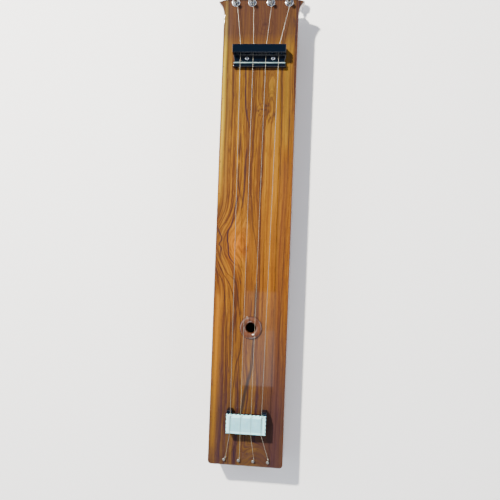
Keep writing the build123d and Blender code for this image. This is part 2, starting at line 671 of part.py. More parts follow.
# The worm is made upright about its own axis, with the mesh at Z = 0.
WORM_ROOT = WORM_PITCH_RADIUS - DEDENDUM
WORM_CREST = WORM_PITCH_RADIUS + ADDENDUM
LEAD_ANGLE = math.atan(PITCH / (2 * math.pi * WORM_PITCH_RADIUS))
FLANK = math.tan(math.radians(20))

with BuildPart() as worm_upright:
    with BuildSketch(Plane.XZ):
        with BuildLine():
            Polyline(
                (0, CAVITY_Y[0] - 1.8),
                (JOURNAL / 2, CAVITY_Y[0] - 1.8),
                (JOURNAL / 2, CAVITY_Y[0] + 0.3),
                (WORM_ROOT, CAVITY_Y[0] + 0.3),
                (WORM_ROOT, CAVITY_Y[1] - 1.2),
                (WORM_CREST, CAVITY_Y[1] - 1.2),
                (WORM_CREST, CAVITY_Y[1] - 0.3),
                (SHAFT / 2, CAVITY_Y[1] - 0.3),
                (SHAFT / 2, BUTTON_START),
                (JOURNAL / 2, BUTTON_START),
                (JOURNAL / 2, BUTTON_END - BUTTON_SCREW_HEIGHT),
                (0, BUTTON_END - BUTTON_SCREW_HEIGHT),
                close=True,
            )
        make_face()
    revolve(axis=Axis.Z)
    with BuildLine() as thread_path:
        Helix(PITCH, 4 * PITCH, WORM_PITCH_RADIUS, center=(0, 0, -2 * PITCH))
    with BuildSketch(Plane(thread_path.wire() @ 0, x_dir=(1, 0, 0), z_dir=thread_path.wire() % 0)):
        with BuildLine():
            thread_half = TOOTH_THICKNESS / 2 * math.cos(LEAD_ANGLE)
            Polyline(
                (-DEDENDUM - 0.2, thread_half + (DEDENDUM + 0.2) * FLANK),
                (ADDENDUM, thread_half - ADDENDUM * FLANK),
                (ADDENDUM, -thread_half + ADDENDUM * FLANK),
                (-DEDENDUM - 0.2, -thread_half - (DEDENDUM + 0.2) * FLANK),
                close=True,
            )
        make_face()
    sweep(is_frenet=True)
    with BuildSketch(Plane.XY.offset(BUTTON_END - BUTTON_SCREW_HEIGHT - BUTTON_SCREW_BITE)):
        Circle(BUTTON_SCREW_RADIUS)
    extrude(amount=BUTTON_SCREW_BITE, mode=Mode.SUBTRACT)

with BuildPart() as worm:
    with Locations((WORM_X, 0, WORM_Z)):
        add(worm_upright.part, rotation=(-90, 0, 0))

with BuildPart() as button:
    grip_start = BUTTON_START + BUTTON_STEM
    with BuildSketch(Plane.XZ.offset(-BUTTON_START)):
        with Locations((WORM_X, WORM_Z)):
            Circle(BUTTON_STEM_RADIUS)
    extrude(amount=-BUTTON_STEM - 1.0)
    for reach, grow in ((0, 0.62), (0.35, 0.96), (0.7, 1.0), (1, 0.84)):
        with BuildSketch(Plane.XZ.offset(-grip_start - reach * BUTTON_LENGTH)):
            with Locations((WORM_X, WORM_Z)):
                Ellipse(BUTTON_WIDTH / 2 * grow, BUTTON_THICKNESS / 2 * grow)
    loft()
    with BuildSketch(Plane.XZ.offset(-BUTTON_START)):
        with Locations((WORM_X, WORM_Z)):
            Circle(JOURNAL / 2)
    extrude(amount=-BUTTON_STEM - BUTTON_LENGTH, mode=Mode.SUBTRACT)

with BuildPart() as button_screw:
    screw_seat = BUTTON_END - BUTTON_SCREW_HEIGHT
    with BuildSketch(Plane.XZ.offset(-screw_seat)):
        with Locations((WORM_X, WORM_Z)):
            Circle(BUTTON_SCREW_HEAD)
    extrude(amount=-BUTTON_SCREW_HEIGHT)
    fillet(button_screw.edges().group_by(Axis.Y)[-1], 0.8)
    with BuildSketch(Plane.XZ.offset(-screw_seat)):
        with Locations((WORM_X, WORM_Z)):
            Circle(BUTTON_SCREW_RADIUS)
    extrude(amount=BUTTON_SCREW_BITE)

# ---- The four tuners in their places ----

for label, piece in (
    ("housing_covers", cover),
    ("tuner_screws", lug_screw),
    ("washers", washer),
    ("hex_bushings", bushing),
):
    with BuildPart() as group:
        with Locations(*POST_PLACES):
            add(piece.part)
    write(group, label)

for number, place in enumerate(POST_PLACES):
    for label, piece in (
        ("tuner_housing", housing),
        ("post", post),
        ("wheel", wheel),
        ("wheel_screw", wheel_screw),
        ("worm", worm),
        ("button", button),
        ("button_screw", button_screw),
    ):
        with BuildPart() as placed:
            with Locations(place):
                add(piece.part)
        write(placed, f"{label}_{number + 1}")
    gauge = STRING_GAUGES[number]
    with BuildPart() as winding:
        post_x, post_y, _ = place
        with BuildSketch(Plane.XZ.offset(-post_y)):
            for turn in range(STRING_TURNS):
                turn_height = FACE + WIND_HEIGHT + turn * gauge * 0.9
                with Locations((post_x + POST_WAIST / 2 + gauge / 2, turn_height)):
                    Circle(gauge / 2)
        revolve(axis=Axis((post_x, post_y, 0), (0, 0, 1)))
    write(winding, f"string_winding_{number + 1}")
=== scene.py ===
"""Looks for a flat-box travel tanpura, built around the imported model.

Places are in metres, in the model's frame: X across the face, +Y towards the head,
+Z out of the face. Stations are distances from the dark line across the head towards
the tail. The materials work in millimetres.
"""

import math

import bmesh
import bpy
from mathutils import Matrix, Vector


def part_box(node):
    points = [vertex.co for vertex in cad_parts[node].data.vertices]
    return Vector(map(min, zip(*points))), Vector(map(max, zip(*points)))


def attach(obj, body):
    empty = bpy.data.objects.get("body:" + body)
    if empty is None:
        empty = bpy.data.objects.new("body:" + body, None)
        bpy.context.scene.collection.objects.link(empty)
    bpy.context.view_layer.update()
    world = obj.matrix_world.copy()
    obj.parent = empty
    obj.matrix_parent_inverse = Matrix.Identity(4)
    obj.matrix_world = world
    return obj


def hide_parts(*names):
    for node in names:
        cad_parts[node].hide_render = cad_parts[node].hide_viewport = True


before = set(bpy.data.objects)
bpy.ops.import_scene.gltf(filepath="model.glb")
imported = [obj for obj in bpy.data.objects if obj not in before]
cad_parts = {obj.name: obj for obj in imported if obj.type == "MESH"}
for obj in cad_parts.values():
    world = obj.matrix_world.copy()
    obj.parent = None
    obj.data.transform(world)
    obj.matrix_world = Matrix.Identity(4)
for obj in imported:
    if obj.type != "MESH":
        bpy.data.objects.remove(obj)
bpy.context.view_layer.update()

MM = 0.001
FACE_LOW, FACE_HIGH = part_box("soundboard")
FACE = FACE_HIGH.z
TAIL_STATION = 837 * MM
LINE_Y = FACE_LOW.y + TAIL_STATION
NUMBERS = (1, 2, 3, 4)
NUT_SHELF = FACE + 9 * MM
NUT_BAR_DEPTH = 14.7 * MM


def centre(node):
    """The middle of a CAD node's box."""
    low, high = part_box(node)
    return (low + high) / 2


def spaced(first, last, count=4):
    """Evenly spaced values from first to last."""
    return [first + (last - first) * i / (count - 1) for i in range(count)]


# ---------------------------------------------------------------- materials


class Value:
    """A number or vector inside a material, which can be added, scaled and so on."""

    def __init__(self, shader, socket):
        self.shader = shader
        self.socket = socket

    def __add__(self, other):
        return self.shader.math("ADD", self, other)

    def __sub__(self, other):
        return self.shader.math("SUBTRACT", self, other)

    def __rsub__(self, other):
        return self.shader.math("SUBTRACT", other, self)

    def __mul__(self, other):
        return self.shader.math("MULTIPLY", self, other)

    def __truediv__(self, other):
        return self.shader.math("DIVIDE", self, other)

    __radd__ = __add__
    __rmul__ = __mul__


class Shader:
    """One node material on a Principled shader, written as expressions."""

    def __init__(self, name, **settings):
        self.material = bpy.data.materials.new(name)
        self.material.use_nodes = True
        self.tree = self.material.node_tree
        self.bsdf = self.tree.nodes["Principled BSDF"]
        for key, value in settings.items():
            self.set(key.replace("_", " "), value)

    def set(self, name, value):
        self.plug(value, self.bsdf.inputs[name])

    def plug(self, value, socket):
        if isinstance(value, Value):
            self.tree.links.new(value.socket, socket)
        elif socket.type == "RGBA" and len(value) == 3:
            socket.default_value = (*value, 1)
        else:
            socket.default_value = value

    def node(self, kind, output=0, **inputs):
        made = self.tree.nodes.new("ShaderNode" + kind)
        for key, value in inputs.items():
            self.plug(value, made.inputs[key.replace("_", " ")])
        return made, Value(self, made.outputs[output])

    def math(self, operation, *values):
        made = self.tree.nodes.new("ShaderNodeMath")
        made.operation = operation
        for value, socket in zip(values, made.inputs):
            self.plug(value, socket)
        return Value(self, made.outputs[0])

    def position(self):
        """X, Y and Z on the object, in millimetres."""
        made, _ = self.node("TexCoord")
        split, _ = self.node("SeparateXYZ", Vector=Value(self, made.outputs["Object"]))
        return [Value(self, split.outputs[i]) * 1000 for i in range(3)]

    def vector(self, x, y, z=0.0):
        return self.node("CombineXYZ", X=x, Y=y, Z=z)[1]

    def noise(self, vector, detail=2.0, roughness=0.5):
        """Noise around 0.5, with a period of about one unit of the vector."""
        return self.node("TexNoise", Vector=vector, Scale=1.0, Detail=detail,
                         Roughness=roughness)[1]

    def ramp(self, value, stops):
        made, out = self.node("ValToRGB", Fac=value)
        elements = made.color_ramp.elements
        while len(elements) < len(stops):
            elements.new(0.5)
        for element, (place, colour) in zip(elements, stops):
            element.position = place
            element.color = (*colour, 1)
        return out

    def curve(self, value, low, high, points):
        """A smooth curve through (input, output) points; outputs run from low to high."""
        made, out = self.node("FloatCurve", Value=value)
        line = made.mapping.curves[0]
        while len(line.points) < len(points):
            line.points.new(0.5, 0.5)
        for point, (place, result) in zip(line.points, points):
            point.location = (place, (result - low) / (high - low))
        made.mapping.update()
        return out * (high - low) + low

    def smooth(self, value, start, end):
        """0 before start, 1 after end, and smooth between."""
        made, out = self.node("MapRange", Value=value)
        made.interpolation_type = "SMOOTHSTEP"
        self.plug(start, made.inputs["From Min"])
        self.plug(end, made.inputs["From Max"])
        return out

    def bell(self, value, middle, spread):
        """exp(-((value - middle) / spread)^2)."""
        reach = (value - middle) / spread
        return self.math("EXPONENT", reach * reach * -1.0)

    def mix(self, amount, first, second, blend="MIX"):
        made = self.tree.nodes.new("ShaderNodeMix")
        made.data_type = "RGBA"
        made.blend_type = blend
        self.plug(amount, made.inputs[0])
        self.plug(first, made.inputs[6])
        self.plug(second, made.inputs[7])
        return Value(self, made.outputs[2])

    def bump(self, height, strength, distance_mm):
        return self.node("Bump", Height=height, Strength=strength, Distance=distance_mm * MM)[1]


def face_teak():
    """Figured teak under gloss lacquer: sapwood at one edge, a knot, and a wild swirl."""
    s = Shader("lacquered_face_teak", Roughness=0.6, Specular_IOR_Level=0.04, Coat_Weight=0.8,
               Coat_Roughness=0.03)
    x, y, _ = s.position()
    station = (LINE_Y * 1000) - y
    along = station / 850.0

    # The figure is a field whose level lines are the growth lines. It starts as X.
    # The swirl pushes lines towards the left edge, and each knot bends them round it.
    field = x + s.bell(station, 441.0, 46.0) * (1.0 - s.smooth(x, -46.0, 0.0)) * 26.0
    for knot_x, knot_station, width, length, push in (
        (8.0, 43.0, 13.0, 22.0, 4.0),
        (8.0, 197.0, 8.0, 13.0, 7.0),
        (25.2, 194.0, 6.5, 19.0, 9.0),
        (-6.0, 410.0, 9.0, 60.0, 6.0),
        (-27.0, 300.0, 7.0, 45.0, 5.0),
        (-19.0, 560.0, 9.0, 60.0, 5.0),
        (6.0, 700.0, 14.0, 50.0, 5.0),
    ):
        round_it = s.bell(x, knot_x, width) * s.bell(station, knot_station, length)
        field = field - round_it * push
    # Arched figure, where the saw cut across the top of a growth layer.
    for arch_x, arch_station, width, length, curve_up, scale in (
        (24.5, 152.0, 7.0, 27.0, 0.34, 0.20),
        (20.0, 824.0, 24.0, 26.0, 0.036, 0.55),
    ):
        off = x - arch_x
        arches = (station - arch_station - off * off * curve_up) * scale
        reach = s.bell(x, arch_x, width) * s.bell(station, arch_station, length)
        hold = s.smooth(reach, 0.15, 0.6)
        field = field + (arches - field) * hold
    drift = s.noise(s.vector(x / 60.0, station / 190.0, 3.0), detail=1.0)
    ripple = s.noise(s.vector(x / 8.0, station / 42.0, 7.0), detail=2.0)
    field = field + (drift - 0.5) * 12.0 + (ripple - 0.5) * 2.4

    broad = s.noise(s.vector(field / 9.0, station / 620.0, 1.0), detail=1.0)
    middle = s.noise(s.vector(field / 2.6, station / 210.0, 2.0), detail=2.0, roughness=0.6)
    dashes = s.noise(s.vector(field / 1.5, station / 26.0, 6.0), detail=2.0)
    fine = s.noise(s.vector(field / 0.8, station / 60.0, 4.0), detail=2.0)
    pores = s.noise(s.vector(field / 0.42, station / 7.0, 5.0), detail=1.0)

    tone = s.ramp(broad * 0.5 + middle * 0.5, (
        (0.33, (0.040, 0.0135, 0.0040)),
        (0.42, (0.088, 0.0320, 0.0032)),
        (0.50, (0.145, 0.0580, 0.0030)),
        (0.58, (0.205, 0.0900, 0.0028)),
        (0.68, (0.290, 0.1380, 0.0030)),
    ))
    # Thin dark growth lines at uneven distances, and short dark dashes between them.
    for spacing, waver, power, strength in ((6.5, 3.5, 7.0, 0.72), (2.9, 2.0, 4.0, 0.42)):
        phase = field / spacing + (broad - 0.5) * waver
        saw = s.math("ABSOLUTE", s.math("FRACT", phase) * 2.0 - 1.0)
        line = s.math("POWER", saw, power) * s.smooth(middle, 0.62, 0.36)
        tone = s.mix(line * strength, tone, (0.024, 0.0085, 0.0050))
    tone = s.mix(s.smooth(dashes, 0.54, 0.68) * 0.62, tone, (0.034, 0.0115, 0.0055))
    tone = s.mix(s.smooth(dashes, 0.42, 0.30) * 0.35, tone, (0.270, 0.1300, 0.0120))

    # The figure is quiet near the head and down the right side.
    side = s.math("ABSOLUTE", x)
    head_end = (1.0 - s.smooth(station, 74.0, 92.0)) * (1.0 - s.smooth(side, 50.0, 62.0))
    tone = s.mix(head_end * 0.60, tone, (0.175, 0.0700, 0.0045))
    right_side = s.smooth(x, 14.0, 26.0) * s.smooth(station, 235.0, 275.0)
    tone = s.mix(right_side * 0.38, tone, (0.155, 0.0570, 0.0016))
    low_right = s.smooth(x, 6.0, 26.0) * s.smooth(station, 540.0, 660.0)
    tone = s.mix(low_right * 0.30, tone, (0.075, 0.0300, 0.0060))
    swirl_edge = s.bell(x, -60.0, 15.0) * s.bell(station, 455.0, 62.0)
    tone = s.mix(swirl_edge * 0.38, tone, (0.070, 0.0250, 0.0060))
    beside_swirl = s.bell(x, -3.0, 9.0) * s.bell(station, 440.0, 60.0)
    tone = s.mix(beside_swirl * 0.40, tone, (0.200, 0.0850, 0.0030))

    # Bands that run the whole length: sapwood, gold at the lower left, browns at the right.
    edge_waver = (drift - 0.5) * 5.0
    for middle_x, spread, amount, colour, strengths in (
        (-62.4, 3.1, 1.00, (0.460, 0.310, 0.012),
         ((0, 0.4), (30, 0.75), (60, 1), (180, 0.95), (260, 0.7), (340, 0.25), (400, 0), (850, 0))),
        (-54.0, 3.0, 0.45, (0.250, 0.130, 0.012),
         ((0, 0.3), (60, 0.8), (250, 1), (420, 0.3), (850, 0))),
        (36.5, 4.2, 0.40, (0.300, 0.150, 0.004),
         ((0, 0), (90, 0.6), (130, 1), (330, 0.8), (430, 0.1), (850, 0))),
        (52.0, 5.0, 0.50, (0.300, 0.160, 0.005),
         ((0, 0), (40, 0.5), (110, 1), (245, 0.9), (290, 0), (850, 0))),
        (52.0, 7.0, 0.60, (0.075, 0.0265, 0.0080),
         ((0, 0), (270, 0), (310, 0.8), (500, 0.7), (720, 0.6), (850, 0.5))),
        (-59.0, 4.6, 0.90, (0.400, 0.165, 0.0020),
         ((0, 0), (500, 0), (545, 0.7), (640, 0.9), (705, 1), (780, 1), (810, 0.5), (850, 0.2))),
        (-49.5, 4.0, 0.55, (0.066, 0.0250, 0.0060),
         ((0, 0), (520, 0), (580, 0.8), (720, 1), (850, 0.6))),
    ):
        force = s.curve(along, 0, 1, [(p / 850, v) for p, v in strengths])
        band = s.bell(x + edge_waver, middle_x, spread) * force
        tone = s.mix(band * (0.55 + middle * 0.8) * amount, tone, colour)
    patch = s.bell(x, -28.0, 16.0) * s.bell(station, 442.0, 30.0) * s.smooth(x, -48.0, -42.5)
    orange = s.mix(s.smooth(dashes, 0.46, 0.60) * 0.8, (0.390, 0.1350, 0.0006), (0.130, 0.0420, 0.0020))
    tone = s.mix(patch * 0.7, tone, orange)
    lens = s.bell(x, 24.0, 4.2) * s.bell(station, 160.0, 18.0)
    tone = s.mix(lens * 0.6, tone, (0.300, 0.155, 0.0040))

    # Browner towards the head and the tail.
    zone = s.ramp(along, (
        (0.00, (0.29, 0.28, 1.80)),
        (0.070, (0.30, 0.29, 1.70)),
        (0.105, (0.62, 0.63, 1.00)),
        (0.20, (0.67, 0.665, 1.00)),
        (0.40, (1.04, 0.96, 1.20)),
        (0.60, (0.98, 0.85, 1.20)),
        (0.74, (0.72, 0.68, 2.00)),
        (0.86, (0.43, 0.45, 3.20)),
        (1.00, (0.37, 0.42, 3.60)),
    ))
    tone = s.mix(1.0, tone, zone, "MULTIPLY")

    # Dark strokes, each a line of (station, X) with the strength it has along it.
    purple = (0.0165, 0.0060, 0.0100)
    brown = (0.0270, 0.0100, 0.0060)
    for width, darkness, colour, places, strengths in (
        (2.4, 0.90, purple,
         ((90, -25), (131, -23.7), (188, -21.6), (205, -19.7), (228, -14.4), (268, -13)),
         ((90, 0.3), (131, 0.9), (188, 1), (205, 0.95), (228, 0.5), (280, 0.2))),
        (2.4, 0.75, brown,
         ((60, 40.5), (127, 41.8), (286, 44.3), (447, 43.2), (537, 43.6), (800, 42)),
         ((60, 0.4), (127, 1), (300, 0.9), (330, 0.55), (560, 0.5), (800, 0.2))),
        (1.8, 0.70, brown,
         ((90, 56.5), (180, 57.5), (260, 58), (400, 57), (600, 54), (800, 52)),
         ((90, 0.5), (180, 1), (260, 1), (330, 0.3), (500, 0.8), (800, 0.6))),
        (1.8, 0.60, brown,
         ((40, -49), (100, -48.5), (240, -47), (380, -48)),
         ((40, 0.4), (100, 1), (280, 0.8), (380, 0.2))),
        (2.8, 0.92, purple,
         ((270, -17), (298, -18.4), (327, -18.7), (352, -20), (385, -22)),
         ((262, 0), (298, 0.9), (327, 1), (352, 0.9), (378, 0))),
        (2.4, 0.90, brown,
         ((290, -30), (329, -30), (343, -27.3), (358, -23)),
         ((290, 0.2), (327, 1), (343, 0.9), (362, 0))),
        (2.4, 0.85, brown,
         ((240, -29), (262, -29.5), (282, -30), (300, -30)),
         ((236, 0), (255, 1), (270, 1), (290, 0))),
        (2.1, 0.92, (0.0175, 0.0070, 0.0125),
         ((352, -30), (371, -33.2), (393, -37), (406, -40), (419, -46), (431, -46.2),
          (440, -44.6), (459, -42.8), (468, -37.7), (475, -31.8), (480, -20)),
         ((350, 0), (372, 1), (400, 0.9), (440, 1), (460, 1), (476, 0.85), (480, 0))),
        (4.8, 0.90, (0.0200, 0.0130, 0.0115),
         ((500, 8.5), (540, 9), (590, 8.5), (613, 7), (661, 5), (690, -0.8), (708, -4.8),
          (739, -9.3)),
         ((505, 0), (530, 0.75), (600, 0.7), (661, 0.9), (700, 1), (738, 1), (745, 0))),
        (1.6, 0.75, brown,
         ((600, -12), (633, -16.5), (658, -22.5), (686, -25), (709, -26.5), (760, -30)),
         ((600, 0.1), (640, 1), (690, 1), (720, 0.5), (770, 0))),
        (1.8, 0.72, brown,
         ((440, -66), (456, -61.5), (492, -44), (511, -27.5), (560, -20), (600, -16)),
         ((440, 0.6), (480, 0.9), (511, 1), (560, 0.8), (600, 0))),
        (1.8, 0.80, brown,
         ((470, -62), (492, -52), (520, -36), (560, -27), (620, -24)),
         ((470, 0.5), (500, 1), (560, 1), (620, 0))),
        (1.8, 0.80, brown,
         ((480, -66), (492, -61), (507, -52.6), (530, -48), (565, -44.5), (760, -42)),
         ((480, 0.4), (507, 0.9), (565, 1), (680, 0.7), (780, 0.2))),
        (1.6, 0.75, brown,
         ((520, -40), (560, -36), (640, -34), (740, -33)),
         ((510, 0), (560, 1), (680, 0.8), (740, 0.3))),
        (1.8, 0.65, brown,
         ((340, -36), (368, -39), (397, -49), (412, -60), (425, -68)),
         ((340, 0), (368, 0.8), (400, 1), (425, 0.8))),
        (1.6, 0.60, brown,
         ((330, -48), (368, -51), (390, -57), (405, -66)),
         ((330, 0), (368, 0.8), (405, 0.8))),
        (2.2, 0.85, (0.0200, 0.0085, 0.0120),
         ((405, -68), (420, -61), (432, -57), (441, -61), (447, -57), (455, -58), (465, -55)),
         ((404, 0.6), (420, 1), (447, 1), (465, 0))),
        (1.7, 0.60, brown,
         ((360, -6), (395, -3), (420, 2), (450, 8), (480, 12), (520, 13)),
         ((370, 0), (400, 0.6), (450, 1), (480, 0.7), (515, 0))),
        (1.7, 0.35, brown,
         ((380, -10), (420, -14), (470, -15), (520, -13), (560, -12)),
         ((380, 0), (420, 1), (500, 0.8), (560, 0))),
    ):
        spot = s.curve(along, -70, 70, [(p / 850, v) for p, v in places])
        force = s.curve(along, 0, 1, [(p / 850, v) for p, v in strengths])
        away = s.math("ABSOLUTE", x - spot + (ripple - 0.5) * 3.0)
        stroke = (1.0 - s.smooth(away, width * 0.2, width)) * force
        inside = s.smooth(along, places[0][0] / 850 - 0.01, places[0][0] / 850)
        tone = s.mix(stroke * inside * (0.7 + dashes * 0.6) * darkness, tone, colour)

    # The dark dashes at the heart of the knots, (X, station, half width, half length).
    for knot_x, knot_station, half_width, half_length in (
        (1.5, 199.0, 2.4, 2.6),
        (6.8, 196.0, 3.4, 1.5),
        (15.6, 190.0, 4.2, 1.5),
        (13.5, 197.0, 3.4, 1.3),
        (30.5, 205.0, 2.0, 5.0),
        (8.0, 43.0, 4.0, 2.0),
    ):
        dot = s.bell(x, knot_x, half_width) * s.bell(station, knot_station, half_length)
        tone = s.mix(dot * 0.85, tone, (0.022, 0.0080, 0.0060))

    # Oval growth lines round the knots, (X, station, half width, half length, strength).
    for oval_x, oval_station, half_width, half_length, strength in (
        (24.4, 194.0, 4.6, 18.0, 0.75),
        (25.0, 192.0, 8.5, 27.0, 0.45),
        (9.0, 197.0, 10.5, 11.0, 0.55),
        (8.0, 43.0, 4.6, 3.4, 0.60),
        (8.5, 45.0, 9.5, 8.0, 0.45),
        (9.0, 48.0, 15.0, 14.0, 0.35),
    ):
        across = (x - oval_x + (ripple - 0.5) * 3.0) / half_width
        down = (station - oval_station) / half_length
        from_line = s.math("ABSOLUTE", s.math("SQRT", across * across + down * down) - 1.0)
        line = (1.0 - s.smooth(from_line, 0.05, 1.3 / half_width)) * s.smooth(dashes, 0.30, 0.60)
        tone = s.mix(line * strength, tone, (0.026, 0.0095, 0.0065))

    pore = s.smooth(pores, 0.60, 0.74)
    tone = s.mix(pore * 0.52, tone, (0.026, 0.0095, 0.0050))
    tone = s.mix((fine - 0.5) * 1.1, tone, (0.30, 0.16, 0.02), "SOFT_LIGHT")

    # Painted shade, red-brown, on the rounded side edges where they turn away from the light, and the thin
    # line across the head.
    edge = s.smooth(side, 64.6, 66.8) * (1.0 - s.bell(station, 0.0, 30.0))
    tone = s.mix(edge * 0.8, tone, (0.055, 0.0125, 0.0045))
    inlay = 1.0 - s.smooth(s.math("ABSOLUTE", station), 0.4, 0.9)
    tone = s.mix(inlay * 0.85, tone, (0.010, 0.005, 0.004))
    s.set("Base Color", tone)

    height = pore * -0.5 + fine * 0.3
    s.set("Normal", s.bump(height, 0.10, 0.05))
    waves = s.noise(s.vector(x / 22.0, station / 60.0, 9.0), detail=1.0)
    s.set("Coat Normal", s.bump(waves + pore * -0.04, 0.25, 0.05))
    return s.material


def plank(name, light, dark, seed, gloss=1.0):
    """Straight-grained wood along Y, with end grain across it."""
    s = Shader(name, Roughness=0.6, Specular_IOR_Level=0.1, Coat_Weight=gloss, Coat_Roughness=0.06)
    x, y, z = s.position()
    x = x + seed * 31.0
    bend = s.noise(s.vector(x / 70.0, y / 260.0, z / 40.0), detail=1.0) * 8.0
    rings = s.noise(s.vector((x + bend) / 5.0, y / 520.0, (z + bend) / 5.0), detail=3.0, roughness=0.6)
    fine = s.noise(s.vector(x / 0.8, y / 70.0, z / 0.8), detail=2.0)
    pores = s.smooth(s.noise(s.vector(x / 0.4, y / 7.0, z / 0.4), detail=1.0), 0.60, 0.74)
    tone = s.mix(s.smooth(rings, 0.34, 0.66), dark, light)
    tone = s.mix(fine - 0.5, tone, light, "SOFT_LIGHT")
    tone = s.mix(pores * 0.35, tone, [c * 0.4 for c in dark])
    s.set("Base Color", tone)
    s.set("Normal", s.bump(fine * 0.4 - pores * 0.6, 0.15, 0.05))
    return s.material


def turned_wood():
    """Reddish turned wood with lathe rings round the sound hole, and painted shade at its outer foot."""
    s = Shader("turned_ring_wood", Roughness=0.5, Specular_IOR_Level=0.1, Coat_Weight=1.0,
               Coat_Roughness=0.06)
    x, y, z = s.position()
    middle = centre("sound_ring")
    x = x - middle.x * 1000
    y = y - middle.y * 1000
    radius = s.math("SQRT", x * x + y * y)
    grain = s.noise(s.vector(x / 2.4, y / 34.0, z / 8.0), detail=3.0, roughness=0.6)
    lathe_marks = s.noise(s.vector(radius / 0.35, z / 0.35, 2.0), detail=1.0)
    tone = s.ramp(grain, (
        (0.34, (0.032, 0.0098, 0.0042)),
        (0.50, (0.064, 0.0200, 0.0080)),
        (0.66, (0.108, 0.0385, 0.0150)),
    ))
    # Painted shade: the outer foot of the ring, where it steps down to the face, is darkened all round.
    tone = s.mix(s.smooth(radius, 18.4, 20.0) * 0.6, tone, (0.030, 0.0095, 0.0055))
    s.set("Base Color", tone)
    s.set("Normal", s.bump(lathe_marks, 0.12, 0.05))
    return s.material


def black_wood():
    """Ebonised wood, polished, with fine pores."""
    s = Shader("ebonised_wood", Specular_IOR_Level=0.0, Coat_Weight=1.0, Coat_Roughness=0.03)
    x, y, z = s.position()
    grain = s.noise(s.vector(x / 26.0, y / 0.9, z / 0.9), detail=3.0, roughness=0.6)
    smudge = s.noise(s.vector(x / 14.0, y / 9.0, z / 9.0), detail=2.0)
    s.set("Base Color", s.mix(grain, (0.0002, 0.0014, 0.0044), (0.0009, 0.0034, 0.0086)))
    s.set("Roughness", 0.5 + smudge * 0.2)
    s.set("Normal", s.bump(grain, 0.15, 0.05))
    return s.material


def bone():
    """White bone with a cloudy tone, its bevelled border painted brighter than the centre as a painted
    highlight.
    """
    s = Shader("white_bone", IOR=1.5, Subsurface_Weight=0.1, Subsurface_Scale=0.002,
               Specular_IOR_Level=0.3, Coat_Weight=0.3, Coat_Roughness=0.1)
    x, y, z = s.position()
    cloud = s.noise(s.vector(x / 12.0, y / 9.0, z / 6.0), detail=3.0)
    saw_lines = s.noise(s.vector(x / 30.0, y / 0.5, z / 0.5), detail=1.0)
    low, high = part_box("bridge_plate")
    inside = 1.0
    for value, first, last, border in (
        (x, low.x / MM, high.x / MM, 5.8),
        (y, low.y / MM, high.y / MM, 5.4),
    ):
        inside = inside * s.smooth(value, first + border - 1.2, first + border)
        inside = inside * s.smooth(value, last - border + 1.2, last - border)
    centre_tone = s.ramp(cloud, (
        (0.30, (0.200, 0.485, 0.560)),
        (0.55, (0.230, 0.530, 0.605)),
        (0.75, (0.270, 0.565, 0.635)),
    ))
    # Painted highlight: the border of the plate is painted a brighter white than its centre.
    tone = s.mix(inside, (0.400, 0.850, 0.900), centre_tone)
    tone = s.mix(s.smooth(y, high.y / MM + 20, high.y / MM + 40), tone, (0.130, 0.205, 0.210))
    s.set("Base Color", s.mix(saw_lines * 0.12, tone, (0.30, 0.36, 0.34)))
    s.set("Roughness", 0.34 + cloud * 0.2)
    s.set("Normal", s.bump(saw_lines * 0.3 + cloud, 0.06, 0.1))
    return s.material


def metal(name, colour, roughness, wear=0.08):
    """Plated or drawn metal: fine marks and a little tarnish."""
    s = Shader(name, Metallic=1.0)
    x, y, z = s.position()
    marks = s.noise(s.vector(x, y, z), detail=2.0)
    stain = s.noise(s.vector(x / 7.0, y / 7.0, z / 7.0), detail=3.0)
    s.set("Base Color", s.mix(s.smooth(stain, 0.5, 0.8) * 0.5, colour, [c * 0.7 for c in colour]))
    s.set("Roughness", roughness + stain * wear + marks * wear)
    s.set("Normal", s.bump(marks, 0.06, 0.02))
    return s.material


def wire(name, colour, wound_pitch=None):
    """String metal, with the ridges of a wound string where there is a pitch in mm."""
    s = Shader(name, Metallic=0.5)
    x, y, z = s.position()
    dull = s.noise(s.vector(x / 3.0, y / 22.0, z / 3.0), detail=2.0)
    s.set("Base Color", s.mix(dull, [c * 0.75 for c in colour], colour))
    s.set("Roughness", 0.26 + dull * 0.2)
    if wound_pitch:
        ridges = s.math("SINE", y * (2 * math.pi / wound_pitch))
        s.set("Normal", s.bump(ridges, 0.35, 0.05))
    return s.material


def cotton():
    """Dark cotton thread with its twist."""
    s = Shader("cotton_thread", Roughness=0.9, Sheen_Weight=0.3)
    x, y, z = s.position()
    twist = s.math("SINE", (x * 2.0 + y + z) * 9.0)
    fluff = s.noise(s.vector(x * 4.0, y * 4.0, z * 4.0), detail=2.0)
    s.set("Base Color", s.mix(fluff, (0.05, 0.045, 0.05), (0.16, 0.14, 0.13)))
    s.set("Normal", s.bump(twist + fluff, 0.4, 0.1))
    return s.material


FACE_TEAK = face_teak()
SIDE_TEAK = plank("side_teak", (0.135, 0.046, 0.0120), (0.052, 0.0155, 0.0060), seed=1)
BACK_TEAK = plank("back_teak", (0.165, 0.066, 0.0150), (0.066, 0.0210, 0.0075), seed=2)
BLOCK_TEAK = plank("block_teak", (0.120, 0.041, 0.0110), (0.046, 0.0140, 0.0055), seed=3)
INNER_WOOD = plank("bare_inner_wood", (0.33, 0.215, 0.105), (0.21, 0.125, 0.055), seed=4, gloss=0.0)
RING_WOOD = turned_wood()
BLACK_WOOD = black_wood()
BONE = bone()
CHROME = metal("chrome_plate", (0.62, 0.64, 0.67), 0.08, wear=0.05)
STEEL = metal("bright_steel", (0.62, 0.60, 0.57), 0.26)
PIN_STEEL = metal("dull_steel", (0.20, 0.20, 0.19), 0.38)
BRAD_STEEL = metal("sunk_brads", (0.05, 0.030, 0.020), 0.5)
BRASS = metal("cut_brass", (0.75, 0.54, 0.22), 0.28)
PLAIN_WIRE = wire("plain_string", (0.32, 0.30, 0.24))
WOUND_WIRE = wire("wound_string", (0.21, 0.195, 0.155), wound_pitch=0.22)
COTTON = cotton()


# ---------------------------------------------------------------- mesh tools


